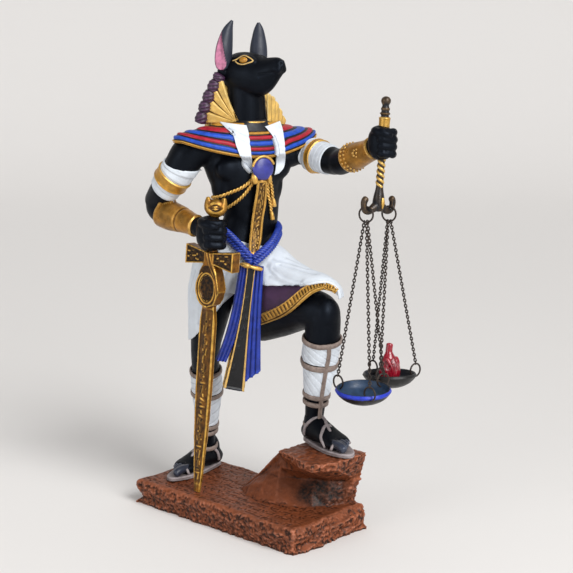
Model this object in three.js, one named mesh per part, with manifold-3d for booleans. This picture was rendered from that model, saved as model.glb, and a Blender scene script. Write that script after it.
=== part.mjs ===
// Jackal-headed guardian figurine with a sword and a pair of scales, on a rock base.
// Millimetres, +Z up. The figure faces -Y, and the origin is the middle of the base's underside.

import * as THREE from "three";
import { mergeVertices } from "three/addons/utils/BufferGeometryUtils.js";
import Module from "manifold-3d";

const wasm = await Module();
wasm.setup();

// Driving sizes
const touchGap = 0.3;
const baseLength = 130;
const baseWidth = 60;
const slabTop = 14.7;
const platformTop = 45;
const baseTurn = -43;
const chestTurn = 28;
const headTurn = 50;
const swordTurn = -40;
const swordLength = 170.4;
const gripRadius = 2.9;
const staffRadius = 2;
const beamHalf = 8.2;
const hookDrop = -4.8;
const hookRadius = 2;
const panRadius = 15.2;
const panDepth = 8.6;
const panWall = 1.1;
const holeDrop = 2.5;
const holeRadius = 1.8;
const ringWire = 0.55;
const hangerRingRadius = 4.1;
const panRingRadius = 3.7;
const chainRadius = 0.8;

// Places
const skull = [-2, 18];
const swordTip = [-29, -2.4, slabTop + touchGap];
const swordLean = 4.3;
const staffFoot = [71.2, -25, 183.5];
const staffLean = 3.6;
const beamTurn = 38;
const frontPan = { at: [63.2, -42, 86.5], tilt: 4, ringAngles: [155, 40, -80], ringTurns: [-50, 30, -44] };
const rearPan = { at: [79.9, -7.5, 86.5], tilt: -4, ringAngles: [5, 125, 245], ringTurns: [38, -57, 48] };
const rightHeel = [-19.5, 47.5];
const rightFootTurn = -47;
const leftHeel = [33.6, -1.6];
const leftFootTurn = 39;

const degrees = THREE.MathUtils.degToRad;

// Finishes
const finish = (color, roughness, metalness = 0) =>
  new THREE.MeshStandardMaterial({ color, roughness, metalness });
const rockPaint = finish(0x7a3f26, 0.75);
const skinPaint = finish(0x0d0e12, 0.35);
const swordGold = finish(0x7d5520, 0.4, 0.6);
const staffBronze = finish(0x1c1a1a, 0.4, 0.4);
const blackWire = finish(0x15100e, 0.45, 0.8);
const panBlack = finish(0x14161a, 0.35, 0.3);
const heartRed = finish(0x8a1024, 0.3);

// A repeatable roughness between -1 and 1
function rough(n) {
  const wave = Math.sin(n * 127.1 + 31.7) * 43758.5453;
  return 2 * (wave - Math.floor(wave)) - 1;
}

// Directions of a thing turned about the upright: ahead of it and to its own left
function heading(turn) {
  const a = degrees(turn);
  return { ahead: [Math.sin(a), -Math.cos(a)], left: [Math.cos(a), Math.sin(a)] };
}

// Point at a distance ahead of and left of a start
function pace(start, turn, forward, sideways, z) {
  const { ahead, left } = heading(turn);
  return [
    start[0] + ahead[0] * forward + left[0] * sideways,
    start[1] + ahead[1] * forward + left[1] * sideways,
    z,
  ];
}

// Closed tube through stations of [x, y, z, half width, half depth, turn of the width axis].
// The corner value squares the section: 1 is an ellipse, and smaller is boxier.
function loft(stations, sides = 12, steps = 2, corner = 1, shape = null) {
  const centres = new THREE.CatmullRomCurve3(stations.map((s) => new THREE.Vector3(s[0], s[1], s[2])));
  const sizes = new THREE.CatmullRomCurve3(
    stations.map((s) => new THREE.Vector3(s[3], s[4] ?? s[3], s[5] ?? 0))
  );
  const body = new THREE.CylinderGeometry(1, 1, 1, sides, steps * (stations.length - 1));
  const place = body.attributes.position;
  const tangent = new THREE.Vector3();
  for (let i = 0; i < place.count; i++) {
    const t = THREE.MathUtils.clamp(place.getY(i) + 0.5, 0, 1);
    const size = sizes.getPoint(t);
    centres.getTangent(t, tangent);
    const across = new THREE.Vector3(Math.cos(degrees(size.z)), Math.sin(degrees(size.z)), 0);
    across.addScaledVector(tangent, -across.dot(tangent)).normalize();
    const deep = new THREE.Vector3().crossVectors(tangent, across);
    const u = Math.sign(place.getX(i)) * Math.abs(place.getX(i)) ** corner;
    const v = -Math.sign(place.getZ(i)) * Math.abs(place.getZ(i)) ** corner;
    const point = centres.getPoint(t).addScaledVector(across, u * size.x).addScaledVector(deep, v * size.y);
    if (shape) shape(point, t);
    place.setXYZ(i, point.x, point.y, point.z);
  }
  return body;
}

// Solid of a geometry, for joining and cutting
function solid(geometry) {
  const bare = geometry.clone();
  bare.deleteAttribute("normal");
  bare.deleteAttribute("uv");
  const merged = mergeVertices(bare, 1e-4);
  return new wasm.Manifold(
    new wasm.Mesh({
      numProp: 3,
      vertProperties: Float32Array.from(merged.attributes.position.array),
      triVerts: Uint32Array.from(merged.index.array),
    })
  );
}

function join(geometries) {
  return geometries.map(solid).reduce((whole, next) => whole.add(next));
}

function geometryOf(body) {
  const mesh = body.getMesh();
  const geometry = new THREE.BufferGeometry();
  geometry.setAttribute("position", new THREE.BufferAttribute(mesh.vertProperties, 3));
  geometry.setIndex(new THREE.BufferAttribute(mesh.triVerts, 1));
  return geometry;
}

// Flat outline given a thickness, standing on a line that runs from one ground point to another.
// Its points are [distance along the line, height].
function panel(from, to, points, thickness) {
  const outline = new THREE.Shape(points.map(([s, z]) => new THREE.Vector2(s, z)));
  const sheet = new THREE.ExtrudeGeometry(outline, { depth: thickness, bevelEnabled: false });
  const along = new THREE.Vector3(to[0] - from[0], to[1] - from[1], 0).normalize();
  const up = new THREE.Vector3(0, 0, 1);
  const out = new THREE.Vector3().crossVectors(along, up);
  const frame = new THREE.Matrix4().makeBasis(along, up, out);
  frame.setPosition(from[0] - out.x * thickness * 0.5, from[1] - out.y * thickness * 0.5, 0);
  return sheet.applyMatrix4(frame);
}

// Large block below a sloping plane through a point, for trimming a hem.
// The slopes are the plane's rise for each millimetre along X and Y.
function blockBelow(point, slopeX, slopeY, size = 160) {
  const up = new THREE.Vector3(-slopeX, -slopeY, 1).normalize();
  const block = new THREE.BoxGeometry(size, size, size);
  block.applyQuaternion(new THREE.Quaternion().setFromUnitVectors(new THREE.Vector3(0, 0, 1), up));
  block.translate(point[0] - up.x * size * 0.5, point[1] - up.y * size * 0.5, point[2] - up.z * size * 0.5);
  return block;
}

// Which step of a cylinder's circle a point is on
function stepRound(x, z, steps) {
  const step = Math.round((Math.atan2(x, z) / (2 * Math.PI)) * steps);
  return (step + steps) % steps;
}

// Base: a slab with broken edges, and the rock under the raised foot
function rockBase() {
  const around = 38;
  const halfLength = baseLength / 2;
  const halfWidth = baseWidth / 2;
  const perimeter = 4 * (halfLength + halfWidth);
  const edge = (i) => {
    let s = (i / around) * perimeter;
    const sides = [baseLength, baseWidth, baseLength, baseWidth];
    const corners = [
      [-halfLength, -halfWidth, 1, 0],
      [halfLength, -halfWidth, 0, 1],
      [halfLength, halfWidth, -1, 0],
      [-halfLength, halfWidth, 0, -1],
    ];
    let side = 0;
    while (side < 3 && s >= sides[side]) s -= sides[side++];
    const [x, y, dx, dy] = corners[side];
    return [x + dx * s, y + dy * s];
  };
  const slab = new THREE.CylinderGeometry(1, 1, 1, around, 3);
  const place = slab.attributes.position;
  const setBack = [0.4, 1.6, 0.9, 1.8];
  for (let i = 0; i < place.count; i++) {
    const level = Math.round((place.getY(i) + 0.5) * 3);
    const radius = Math.hypot(place.getX(i), place.getZ(i));
    const index = stepRound(place.getX(i), place.getZ(i), around);
    const [x, y] = edge(index);
    const shrink = 1 - (setBack[level] + 0.9 * rough(index * 4 + level)) / halfWidth;
    const z = [0, 4.6, 10, slabTop][level];
    place.setXYZ(i, x * shrink * radius, y * shrink * radius, z);
  }
  return join([slab, rock()]).rotate([0, 0, baseTurn]);
}

// The rock runs along the slab: each row is [x of its top, top height, lip y, back y, waist x, waist y,
// foot x, foot y], measured in the slab's own frame
function rock() {
  const rows = [
    [-6, 15.2, 0.5, 3, -6, 0.5, -6, 0],
    [5, 26, 4.5, 12, 4, -2, 6, -8],
    [15, 35.5, 4, 20, 14, -2, 16, -8.5],
    [25, platformTop - 1, 0, 27, 24, 0.5, 27, -7],
    [36, platformTop, -4, 28, 33, 7, 37, -3],
    [48, platformTop, -9, 28.5, 41, 11, 46, 3.5],
    [58, platformTop, -11, 28.5, 49, 16, 51, 11],
    [65, platformTop, 2, 28, 54, 21, 56, 19],
  ];
  const ring = 10;
  const body = new THREE.CylinderGeometry(1, 1, 1, ring, rows.length - 1);
  const place = body.attributes.position;
  const mid = (a, b) => [(a[0] + b[0]) / 2, (a[1] + b[1]) / 2, (a[2] + b[2]) / 2];
  for (let i = 0; i < place.count; i++) {
    const row = Math.round((place.getY(i) + 0.5) * (rows.length - 1));
    const [topX, top, lip, back, waistX, waistY, footX, footY] = rows[row];
    const lipPoint = [topX, lip, top];
    const waist = [waistX, waistY, slabTop + (top - slabTop) * 0.45];
    const foot = [footX, footY, slabTop - 1];
    const heel = [footX, back + 0.6, slabTop - 1];
    const crown = [topX, back, top];
    const shelf = [topX + 0.3, lip + 1.5, top - (top - slabTop) * 0.14];
    const outline = [
      crown, mid(crown, lipPoint), lipPoint, shelf, mid(shelf, waist), waist, mid(waist, foot), foot, heel,
      mid(heel, crown),
    ];
    const index = stepRound(place.getX(i), place.getZ(i), ring);
    const radius = Math.hypot(place.getX(i), place.getZ(i));
    const [x, y, z] = outline[index];
    const jag = index > 1 && index < 9 ? 0.7 : 0;
    const centre = [(waistX + topX) / 2, (back + waistY) / 2, (top + slabTop) / 2];
    place.setXYZ(
      i,
      THREE.MathUtils.lerp(centre[0], x + jag * rough(row * 17 + index), radius),
      THREE.MathUtils.lerp(centre[1], y + jag * rough(row * 13 + index + 5), radius),
      THREE.MathUtils.lerp(centre[2], z, radius)
    );
  }
  return body;
}

// Chest, waist and hips, turned to the viewer's right
function torso() {
  return loft(
    [
      [-5, 22, 140, 17, 13, chestTurn],
      [-4, 22, 150, 19.5, 14.5, chestTurn],
      [-1, 22, 159, 18, 13, chestTurn],
      [1.6, 22, 168, 16.6, 11.8, chestTurn],
      [2, 22, 176, 17, 12.4, chestTurn],
      [0.6, 22, 186, 20.6, 15.2, chestTurn],
      [-0.6, 22, 196, 24.5, 17.4, chestTurn],
      [-1.6, 23, 207, 27, 16, chestTurn],
      [-1.2, 22.6, 218, 19, 12.4, chestTurn],
      [0.4, 20.5, 229, 11.4, 11, chestTurn],
      [-1, 18, 248, 9.5, 10.5, headTurn],
    ],
    12,
    1
  );
}

// Jackal head: each row is [distance ahead of the skull, top, bottom, half width]
function head() {
  const rows = [
    [-13, 256, 246, 3],
    [-10.5, 260, 242, 7.5],
    [-5, 262.6, 239.5, 10.4],
    [1, 263.3, 238.5, 11.3],
    [7, 262.8, 238.5, 10.4],
    [12, 261, 239.2, 8.6],
    [17, 260, 241.6, 7],
    [21, 259.4, 245.6, 5.6],
    [24.6, 259.4, 249.2, 4.8],
    [27.4, 258.8, 251.4, 3.8],
    [29.2, 256.8, 253.2, 1.9],
  ];
  const stations = rows.map(([t, top, bottom, half]) => [
    ...pace(skull, headTurn, t, 0, (top + bottom) / 2),
    half,
    (top - bottom) / 2,
    headTurn,
  ]);
  return loft(stations, 12, 1);
}

function ears() {
  const nearEar = [
    [-13.6, 12.2, 252, 2.6, 2, 25],
    [-13, 12, 258.5, 4.5, 2.8, 25],
    [-12.2, 12, 264.2, 4.8, 3, 25],
    [-11.2, 12.5, 269.8, 4.1, 2.6, 25],
    [-9.8, 12.8, 275, 2.9, 1.9, 25],
    [-7.4, 13, 280.4, 0.7, 0.6, 25],
  ];
  const farEar = [
    [6, 26, 255, 4.2, 3, 10],
    [6.4, 27, 261, 5, 3.2, 10],
    [6.5, 27.2, 266, 4.9, 2.9, 10],
    [6.6, 27.6, 271.5, 3.8, 2.3, 10],
    [6.6, 28, 276, 2.6, 1.7, 10],
    [6.5, 28, 279.6, 0.9, 0.7, 10],
  ];
  return [loft(nearEar, 8, 1), loft(farEar, 8, 1)];
}

// Headcloth: a body behind the neck, a pleated fan on each side, and the braided edge
function headcloth() {
  const back = loft(
    [
      [-3, 29, 221, 23, 8, chestTurn],
      [-3, 28.5, 230, 21, 8.5, chestTurn],
      [-4, 27, 240, 16, 8.5, 33],
      [-4.5, 24.5, 250, 11.5, 8, 40],
      [-4.5, 22, 259, 6.5, 5, headTurn],
    ],
    10,
    1
  );
  const nearFan = panel(
    [-5.8, 9.2],
    [-24.8, 17],
    [[0, 224.5], [0.4, 228], [3.5, 238], [8.4, 248], [12.6, 245], [15.8, 238], [19, 231.5], [20.4, 224]],
    3.2
  );
  const farFan = panel(
    [11.2, 17],
    [21, 33],
    [[0, 223], [-0.6, 231], [-1, 240], [5, 238.5], [10, 234], [15, 229], [18.5, 223]],
    3.2
  );
  const path = [
    [-15, 14, 252.6],
    [-18.8, 15.4, 247.2],
    [-22.2, 16.4, 241.4],
    [-24.8, 17, 235.6],
    [-27, 17.4, 230],
    [-28.2, 17.6, 224.6],
  ];
  const bead = 2.9;
  const waist = 2.1;
  const braid = [];
  path.forEach((point, i) => {
    if (i > 0) braid.push([...point.map((v, k) => (v + path[i - 1][k]) / 2), bead, bead, 30]);
    braid.push([...point, waist, waist, 30]);
  });
  return [back, nearFan, farFan, loft(braid, 6, 1)];
}

// Broad collar, lappets, disc and the inscribed strip down the belly
function regalia() {
  const { left } = heading(chestTurn);
  const saddle = (point, t) => {
    const sideways = (point.x + 1.6) * left[0] + (point.y - 21.5) * left[1];
    const rise = sideways > 0 ? 12 : 8.5;
    point.z += (1 - t) * (1 + rise * Math.min(1, (sideways / 42) ** 2));
  };
  const collar = loft(
    [
      [-0.6, 21.5, 206.2, 44, 20.4, chestTurn],
      [-0.6, 21.5, 212, 41, 19, chestTurn],
      [-1, 21.2, 219, 28, 15.6, chestTurn],
      [0.2, 20.6, 225, 13.6, 12.4, chestTurn],
    ],
    18,
    1,
    1,
    saddle
  );
  const lappets = [
    loft([[-5.5, 7.4, 224, 7.5, 1.6, 8], [-1.8, 4.6, 214, 5.2, 1.6, 8], [1.4, 3.4, 204, 3.4, 1.4, 14],
      [3.4, 4.2, 198, 0.8, 1, 16]], 6, 1, 0.7),
    loft([[13.4, 9.6, 224, 4.6, 1.6, 45], [17.6, 10, 214, 4.6, 1.6, 45], [18.2, 9.2, 204, 3.8, 1.5, 45],
      [15.8, 8.4, 196, 0.8, 1, 45]], 6, 1, 0.7),
  ];
  const disc = new THREE.SphereGeometry(6.3, 10, 6);
  disc.scale(1, 0.32, 1);
  disc.rotateZ(degrees(chestTurn));
  disc.translate(9, 6.2, 200);
  const strip = loft(
    [[8.4, 6, 192.5, 3, 1.4, 26], [7.2, 8, 182, 3.6, 1.4, 26], [5.2, 8.6, 166, 3.5, 1.6, 26],
      [3.6, 5.4, 152.5, 1.8, 1.6, 26]],
    6,
    1,
    0.6
  );
  return [collar, ...lappets, disc, strip];
}

// Arms: shoulder to elbow and elbow to wrist
function arms() {
  const right = [
    [-22, 13, 212, 9.5, 9.5, 0],
    [-31, 9.5, 208.5, 10.4, 10.4, 0],
    [-38, 10.5, 199, 10.4, 10.2, 0],
    [-43, 14.5, 191.4, 9.8, 9.6, 0],
    [-49.8, 25.5, 178.8, 8.4, 8.4, 0],
  ];
  const rightFore = [
    [-50.6, 29.5, 178.6, 6.4, 6.4, 40],
    [-49.4, 25.5, 176.4, 8.6, 8.6, 40],
    [-43.5, 18, 172.2, 8.6, 8.4, 40],
    [-31, 4.6, 168.8, 5.8, 6, 40],
    [-25, -1, 167, 6, 6.6, 40],
  ];
  const left = [
    [19, 33, 212.5, 9, 9.5, 60],
    [27.5, 37, 210, 9.8, 9.6, 50],
    [38.6, 26, 205.6, 9, 9, 45],
    [50.2, 10.4, 202.6, 7.8, 7.8, 45],
  ];
  const leftFore = [
    [49.6, 12.5, 202, 6, 6, 55],
    [52, 7.5, 202.6, 7.9, 7.9, 58],
    [59, -4.2, 206.6, 8, 7.9, 60],
    [66, -15, 210.6, 6, 6.2, 60],
    [70, -20.5, 213.4, 5.6, 6.4, 60],
  ];
  const flank = [
    [20.4, 28, 191, 3, 4.6, 30],
    [22.4, 28.6, 200, 8.8, 8.6, 30],
    [24, 31, 208, 8, 8, 30],
  ];
  return [right, rightFore, left, leftFore, flank].map((stations) => loft(stations, 10, 1));
}

// Fist round a near-upright grip: a squared palm and four fingers
function fist(centre, turn, height, palmBack) {
  const palm = loft(
    [[-0.46, 5.4], [-0.3, 7.1], [0.3, 7.1], [0.46, 5.4]].map(([part, half]) => [
      ...pace(centre, turn, palmBack, 0, centre[2] + height * part),
      half,
      half,
      turn,
    ]),
    8,
    1,
    0.8
  );
  const thick = height / 8;
  const fingers = [0, 1, 2, 3].map((finger) => {
    const z = centre[2] - height / 2 + thick * (2 * finger + 1);
    const reach = 6.6 - 0.25 * Math.abs(finger - 2);
    return loft(
      [-150, -90, -30, 30].map((angle) => [
        centre[0] + reach * Math.cos(degrees(angle + turn)),
        centre[1] + reach * Math.sin(degrees(angle + turn)),
        z,
        thick * 1.06,
        thick * 1.2,
        0,
      ]),
      5,
      1
    );
  });
  return [palm, ...fingers];
}

function fists() {
  return [...fist([-18.6, -5.9, 164.7], -20, 16.2, -1.5), ...fist([73.4, -25, 215.8], -10, 17.4, -1.5)];
}

function legs() {
  const right = [
    [-26, 41, 24, 5.6, 6.2, 0],
    [-25.8, 39.5, 36, 5.6, 6, 0],
    [-25.3, 36.4, 50, 7, 7.4, 0],
    [-25, 33, 67, 9, 9.8, 0],
    [-25.4, 30, 80, 8.8, 9.4, 0],
    [-25.2, 26.6, 93, 9, 9.6, 0],
    [-22.6, 24.5, 110, 11, 11.4, 0],
    [-18, 22, 130, 13, 13, 0],
  ];
  const leftThigh = [
    [8, 24, 127, 14.2, 26, 45],
    [20, 11, 125.4, 14.2, 22.4, 45],
    [33, -4, 122.6, 12.6, 16.6, 45],
    [41, -13.6, 120, 11.2, 11.8, 45],
    [45, -18.6, 118, 7, 8, 45],
  ];
  const leftShin = [
    [40, -6.2, 52, 5.6, 6, 20],
    [38, -5.8, 60, 5.6, 5.8, 20],
    [38.8, -7.6, 72, 6.4, 6.8, 20],
    [40, -9.6, 84, 8.2, 8.8, 20],
    [41, -11, 96, 9.6, 10.2, 20],
    [42, -14, 112, 10.6, 10.8, 20],
    [42.4, -15, 126, 8, 8, 20],
  ];
  return [right, leftThigh, leftShin].map((stations) => loft(stations, 10, 1));
}

// Sandalled foot: a flat sole, the foot and the row of toes
function foot(heel, turn, floor) {
  const sole = new THREE.Shape();
  sole.moveTo(0, -4.8);
  sole.bezierCurveTo(-2.6, -4, -2.6, 4, 0, 4.8);
  sole.bezierCurveTo(10, 6.4, 18, 6.6, 26, 9);
  sole.bezierCurveTo(35, 10, 41, 5, 40, -0.5);
  sole.bezierCurveTo(37.4, -8.6, 31, -10, 26, -9);
  sole.bezierCurveTo(16, -6.2, 9, -6.2, 0, -4.8);
  const plate = new THREE.ExtrudeGeometry(sole, { depth: 2.4, bevelEnabled: false, curveSegments: 2 });
  plate.rotateZ(degrees(turn - 90));
  plate.translate(heel[0], heel[1], floor);
  const instep = [
    [1, 5, 3.6, 4],
    [5, 6.6, 5, 5.4],
    [11, 8, 5.6, 7.4],
    [20, 6.2, 6.2, 4.8],
    [29, 4.4, 7.4, 3],
  ].map(([t, z, half, tall]) => [...pace(heel, turn, t, 0.2, floor + z), half, tall, turn]);
  const toes = [
    [25, 4.4, 7.4, 2.6],
    [32, 4.2, 7.6, 2.4],
    [36.4, 3.6, 6.6, 2],
    [38.6, 3, 4.4, 1.2],
  ].map(([t, z, half, tall]) => [...pace(heel, turn, t, 0.2, floor + z), half, tall, turn]);
  return [plate, loft(instep, 8, 1, 0.85), loft(toes, 8, 1, 0.7)];
}

// Kilt over the hips and thighs, belt, clasp and the hanging apron
function kilt() {
  const hips = loft(
    [
      [-6, 25, 130, 20, 17, chestTurn],
      [-6, 24, 139, 23, 18.6, chestTurn],
      [-4.6, 23.2, 148, 22.4, 17.8, chestTurn],
      [-0.8, 22.2, 161, 18.6, 13.8, chestTurn],
    ],
    12,
    1
  );
  const rightSkirt = solid(
    loft(
      [
        [-23.4, 26, 96, 13.4, 15, 10],
        [-22.4, 25.5, 110, 13.4, 15, 10],
        [-19.4, 24, 128, 14.6, 16, 10],
        [-13, 22.6, 148, 18, 16.6, 20],
      ],
      10,
      1
    )
  ).subtract(solid(blockBelow([-33.5, 18, 104], 0.9, 0.12)));
  const thighCloth = solid(
    loft(
      [
        [2, 29, 138, 15, 22, 45],
        [10, 22, 133, 16.4, 24, 45],
        [21, 10, 129.4, 16.2, 21, 45],
        [33, -4, 126, 14.6, 16.4, 45],
        [41, -13.4, 124.6, 13.2, 14.8, 45],
        [47.6, -20.4, 122.8, 9.8, 12.8, 45],
      ],
      12,
      1
    )
  ).subtract(solid(blockBelow([29, -18, 126.5], 0.5, 0.12)));
  const beltRight = [
    [2.6, 3.8, 149],
    [-5, 5.8, 157],
    [-12.4, 10.4, 165],
    [-18, 18.6, 168],
    [-17, 28, 168],
    [-6, 36.4, 167],
  ];
  const beltLeft = [
    [2.6, 3.8, 149],
    [10.4, 6, 154.4],
    [16.4, 12.6, 160.6],
    [17.8, 22, 163.4],
    [10, 34.4, 165.6],
    [-7, 36.2, 167],
  ];
  const belt = [beltRight, beltLeft].map((path) => loft(path.map((p) => [...p, 3.2, 2.6, 0]), 6, 1));
  const clasp = loft([[-3.6, 0.8, 147.4, 1.4, 1.2, 0], [8.4, 3.4, 144.2, 1.4, 1.2, 0]], 6, 1);
  const apronFrom = [-20, -4.6];
  const apronTo = [12, 1.2];
  const apron = [
    { outline: [[16.8, 147], [11.4, 120], [2.8, 93], [5.8, 90.4], [10, 100], [21.6, 146]], thick: 3.6 },
    { outline: [[20.4, 147], [16, 116], [6.4, 77.6], [17.6, 75], [20.4, 112], [24.6, 146]], thick: 4.6 },
    { outline: [[23.6, 147], [21.4, 118], [18.4, 80.4], [25.6, 86], [25.6, 112], [29, 145]], thick: 3.6 },
  ].map(({ outline, thick }) => panel(apronFrom, apronTo, outline, thick));
  return { cloth: [rightSkirt, thighCloth], shapes: [hips, ...belt, clasp, ...apron] };
}

// Sword: an upside-down looped cross for a hilt, pommel crescent above and blade below
function sword() {
  const bladeHalf = 4.9;
  const bladeThick = 2.3;
  const bladeTop = 109;
  const guardZ = 136.6;
  const loopZ = 122.5;
  const blade = loft(
    [
      [0, 0, 0, 2.2, 1.2],
      [0, 0, 8, 2.7, 1.4],
      [0, 0, 22, 3.4, 1.7],
      [0, 0, 34, 4.1, 2],
      [0, 0, 62, bladeHalf, bladeThick],
      [0, 0, bladeTop + 3, bladeHalf, bladeThick],
    ],
    6,
    1,
    0.75
  );
  const loopOutline = new THREE.Shape();
  loopOutline.moveTo(0, 17);
  loopOutline.bezierCurveTo(-4, 10, -9.4, 3, -8.8, -4);
  loopOutline.bezierCurveTo(-8, -11.6, -3.6, -14, 0, -14);
  loopOutline.bezierCurveTo(3.6, -14, 8, -11.6, 8.8, -4);
  loopOutline.bezierCurveTo(9.4, 3, 4, 10, 0, 17);
  const loop = new THREE.ExtrudeGeometry(loopOutline, {
    depth: 6.4, bevelEnabled: false, curveSegments: 2,
  });
  loop.translate(0, 0, -3.2);
  loop.rotateX(Math.PI / 2);
  loop.translate(0, 0, loopZ);
  const eye = new THREE.CylinderGeometry(5.2, 5.2, 4, 10);
  eye.scale(1, 1, 1.45);
  const frontEye = eye.clone().translate(0, -4.4, loopZ - 3);
  const backEye = eye.clone().translate(0, 4.4, loopZ - 3);
  const arm = (side) => {
    const outline = new THREE.Shape();
    outline.moveTo(-1, -2.6);
    outline.lineTo(17.6, -5.6);
    outline.lineTo(17.6, 5.6);
    outline.lineTo(-1, 2.6);
    outline.closePath();
    const block = new THREE.ExtrudeGeometry(outline, { depth: 6.4, bevelEnabled: false });
    block.translate(0, 0, -3.2);
    block.rotateX(Math.PI / 2);
    if (side < 0) block.rotateZ(Math.PI);
    return block.translate(0, 0, guardZ);
  };
  const grip = loft(
    [
      [0, 0, guardZ - 2, 2.4, 2.4],
      [0, 0, guardZ + 3, gripRadius, gripRadius],
      [0, 0, swordLength - 10, gripRadius, gripRadius],
      [0, 0, swordLength - 7, 3.6, 3.4],
    ],
    8,
    1
  );
  const crescent = new THREE.Shape();
  crescent.moveTo(-5.6, 5.4);
  crescent.bezierCurveTo(-7.4, 0, -4.6, -5.4, 0, -5.4);
  crescent.bezierCurveTo(4.6, -5.4, 7.4, 0, 5.6, 5.4);
  crescent.bezierCurveTo(3.6, 1, -3.6, 1, -5.6, 5.4);
  const horns = new THREE.ExtrudeGeometry(crescent, { depth: 8, bevelEnabled: false, curveSegments: 2 });
  horns.translate(0, 0, -4);
  horns.rotateX(Math.PI / 2);
  horns.translate(0, 0, swordLength - 5.2);
  const ball = new THREE.SphereGeometry(4.3, 8, 5).translate(0, 0, swordLength - 6.4);
  const whole = join([blade, loop, arm(1), arm(-1), grip, horns, ball]);
  return whole.subtract(solid(frontEye)).subtract(solid(backEye));
}

// Scale staff: finial balls, ferrule, shaft, and a beam that curls up at both ends
function scaleStaff() {
  const radius = (z, r) => [0, 0, z, r, r];
  const shaft = loft(
    [
      radius(-3, 3.4), radius(3, 3.2), radius(9, staffRadius), radius(30, staffRadius), radius(36, 2.4),
      radius(46, 2.7), radius(47.4, 2), radius(49, 2.9), radius(50.4, 2),
    ],
    8,
    1
  );
  const lowBall = new THREE.SphereGeometry(2.8, 8, 5).scale(1, 1, 0.8).translate(0, 0, 51.6);
  const topBall = new THREE.SphereGeometry(2.5, 8, 4).translate(0, 0, 55.4);
  const beam = (side) =>
    loft(
      [
        [0, 0, -0.6, 3, 3.4, 0],
        [side * 4.6, 0, -3.6, 2.5, 2.5, 0],
        [side * beamHalf, 0, hookDrop, hookRadius, hookRadius, 0],
        [side * (beamHalf + 3.7), 0, -1.4, 2, 2, 0],
        [side * (beamHalf + 1.2), 0, 4.2, 0.8, 0.8, 0],
      ].map(([x, y, z, a, b]) => [x, y, z, a, b, 90]),
      6,
      1
    );
  return join([shaft, lowBall, topBall, beam(1), beam(-1)]);
}

function pan() {
  const wall = [];
  const steps = 4;
  for (let i = 0; i <= steps; i++) {
    const a = (Math.PI / 2) * (i / steps);
    wall.push(new THREE.Vector2(Math.max(panRadius * Math.sin(a), 0), -panDepth * Math.cos(a)));
  }
  const innerRadius = panRadius - panWall;
  const innerDepth = panDepth - panWall;
  for (let i = steps; i >= 0; i--) {
    const a = (Math.PI / 2) * (i / steps);
    wall.push(new THREE.Vector2(Math.max(innerRadius * Math.sin(a), 0), -innerDepth * Math.cos(a)));
  }
  const bowl = new THREE.LatheGeometry(wall, 18);
  return solid(bowl.rotateX(Math.PI / 2));
}

// Point on a pan's rim where a ring's hole is, in the pan's own frame
function rimPoint(angle) {
  const reach = panRadius - panWall * 0.6;
  return [reach * Math.cos(degrees(angle)), reach * Math.sin(degrees(angle)), -holeDrop];
}

function panWithHoles(angles) {
  return angles.reduce((bowl, angle) => {
    const hole = new THREE.CylinderGeometry(holeRadius, holeRadius, 6, 8);
    hole.rotateZ(Math.PI / 2).rotateZ(degrees(angle)).translate(...rimPoint(angle));
    return bowl.subtract(solid(hole));
  }, pan());
}

function heart() {
  const body = loft(
    [
      [0, 0, 0, 2.6, 2.4],
      [-0.4, 0, 4, 4.6, 4.2],
      [0, 0, 10, 5.4, 4.8],
      [0.4, 0, 15, 4.6, 4],
      [0.4, 0, 19, 2, 2],
    ],
    8,
    1
  );
  const vessels = [
    [[-1.4, 0, 14], [-1.8, 0.4, 19], [-1.6, 0.4, 23], 1.5],
    [[1.6, 0, 14], [1.9, -0.3, 18.6], [2, -0.3, 22], 1.6],
    [[-3.2, 0, 12], [-4.2, 0, 15], [-4, 0, 18], 1.2],
  ].map(([a, b, c, r]) => loft([[...a, r, r], [...b, r, r], [...c, r, r]], 5, 1));
  return join([body, ...vessels]);
}

// The finished object
const group = new THREE.Group();

function addPiece(name, geometry, material, parent = group) {
  const mesh = new THREE.Mesh(geometry, material);
  mesh.name = name;
  parent.add(mesh);
  return mesh;
}

addPiece("base", geometryOf(rockBase()), rockPaint);

const swordMesh = addPiece("sword", geometryOf(sword()), swordGold);
swordMesh.position.set(...swordTip);
swordMesh.rotation.set(degrees(1.2), degrees(swordLean), degrees(swordTurn));

const staffMesh = addPiece("scale_staff", geometryOf(scaleStaff()), staffBronze);
staffMesh.position.set(...staffFoot);
staffMesh.rotation.set(0, degrees(staffLean), degrees(beamTurn));

// Room for a held rod of the given radius, along its own upright, in the figure's frame
function roomFor(mesh, radius, low, high) {
  mesh.updateMatrixWorld(true);
  const room = new THREE.CylinderGeometry(radius, radius, high - low, 10);
  room.rotateX(Math.PI / 2).translate(0, 0, (low + high) / 2);
  return solid(room.applyMatrix4(mesh.matrixWorld));
}

const dress = kilt();
let figure = join([
  torso(), head(), ...ears(), ...headcloth(), ...regalia(), ...arms(), ...fists(), ...legs(),
  ...foot(rightHeel, rightFootTurn, slabTop + touchGap),
  ...foot(leftHeel, leftFootTurn, platformTop + touchGap),
  ...dress.shapes,
]);
for (const layer of dress.cloth) figure = figure.add(layer);
figure = figure.subtract(roomFor(swordMesh, gripRadius + touchGap + 0.1, 139.4, 160.4));
figure = figure.subtract(roomFor(staffMesh, 3, 18, 46));
addPiece("figure", geometryOf(figure), skinPaint);

// Scales: a ring in each hook, three chains down to three rings in each pan's rim
const scaleSides = [
  { name: "front", side: -1, pan: frontPan },
  { name: "rear", side: 1, pan: rearPan },
];

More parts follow.
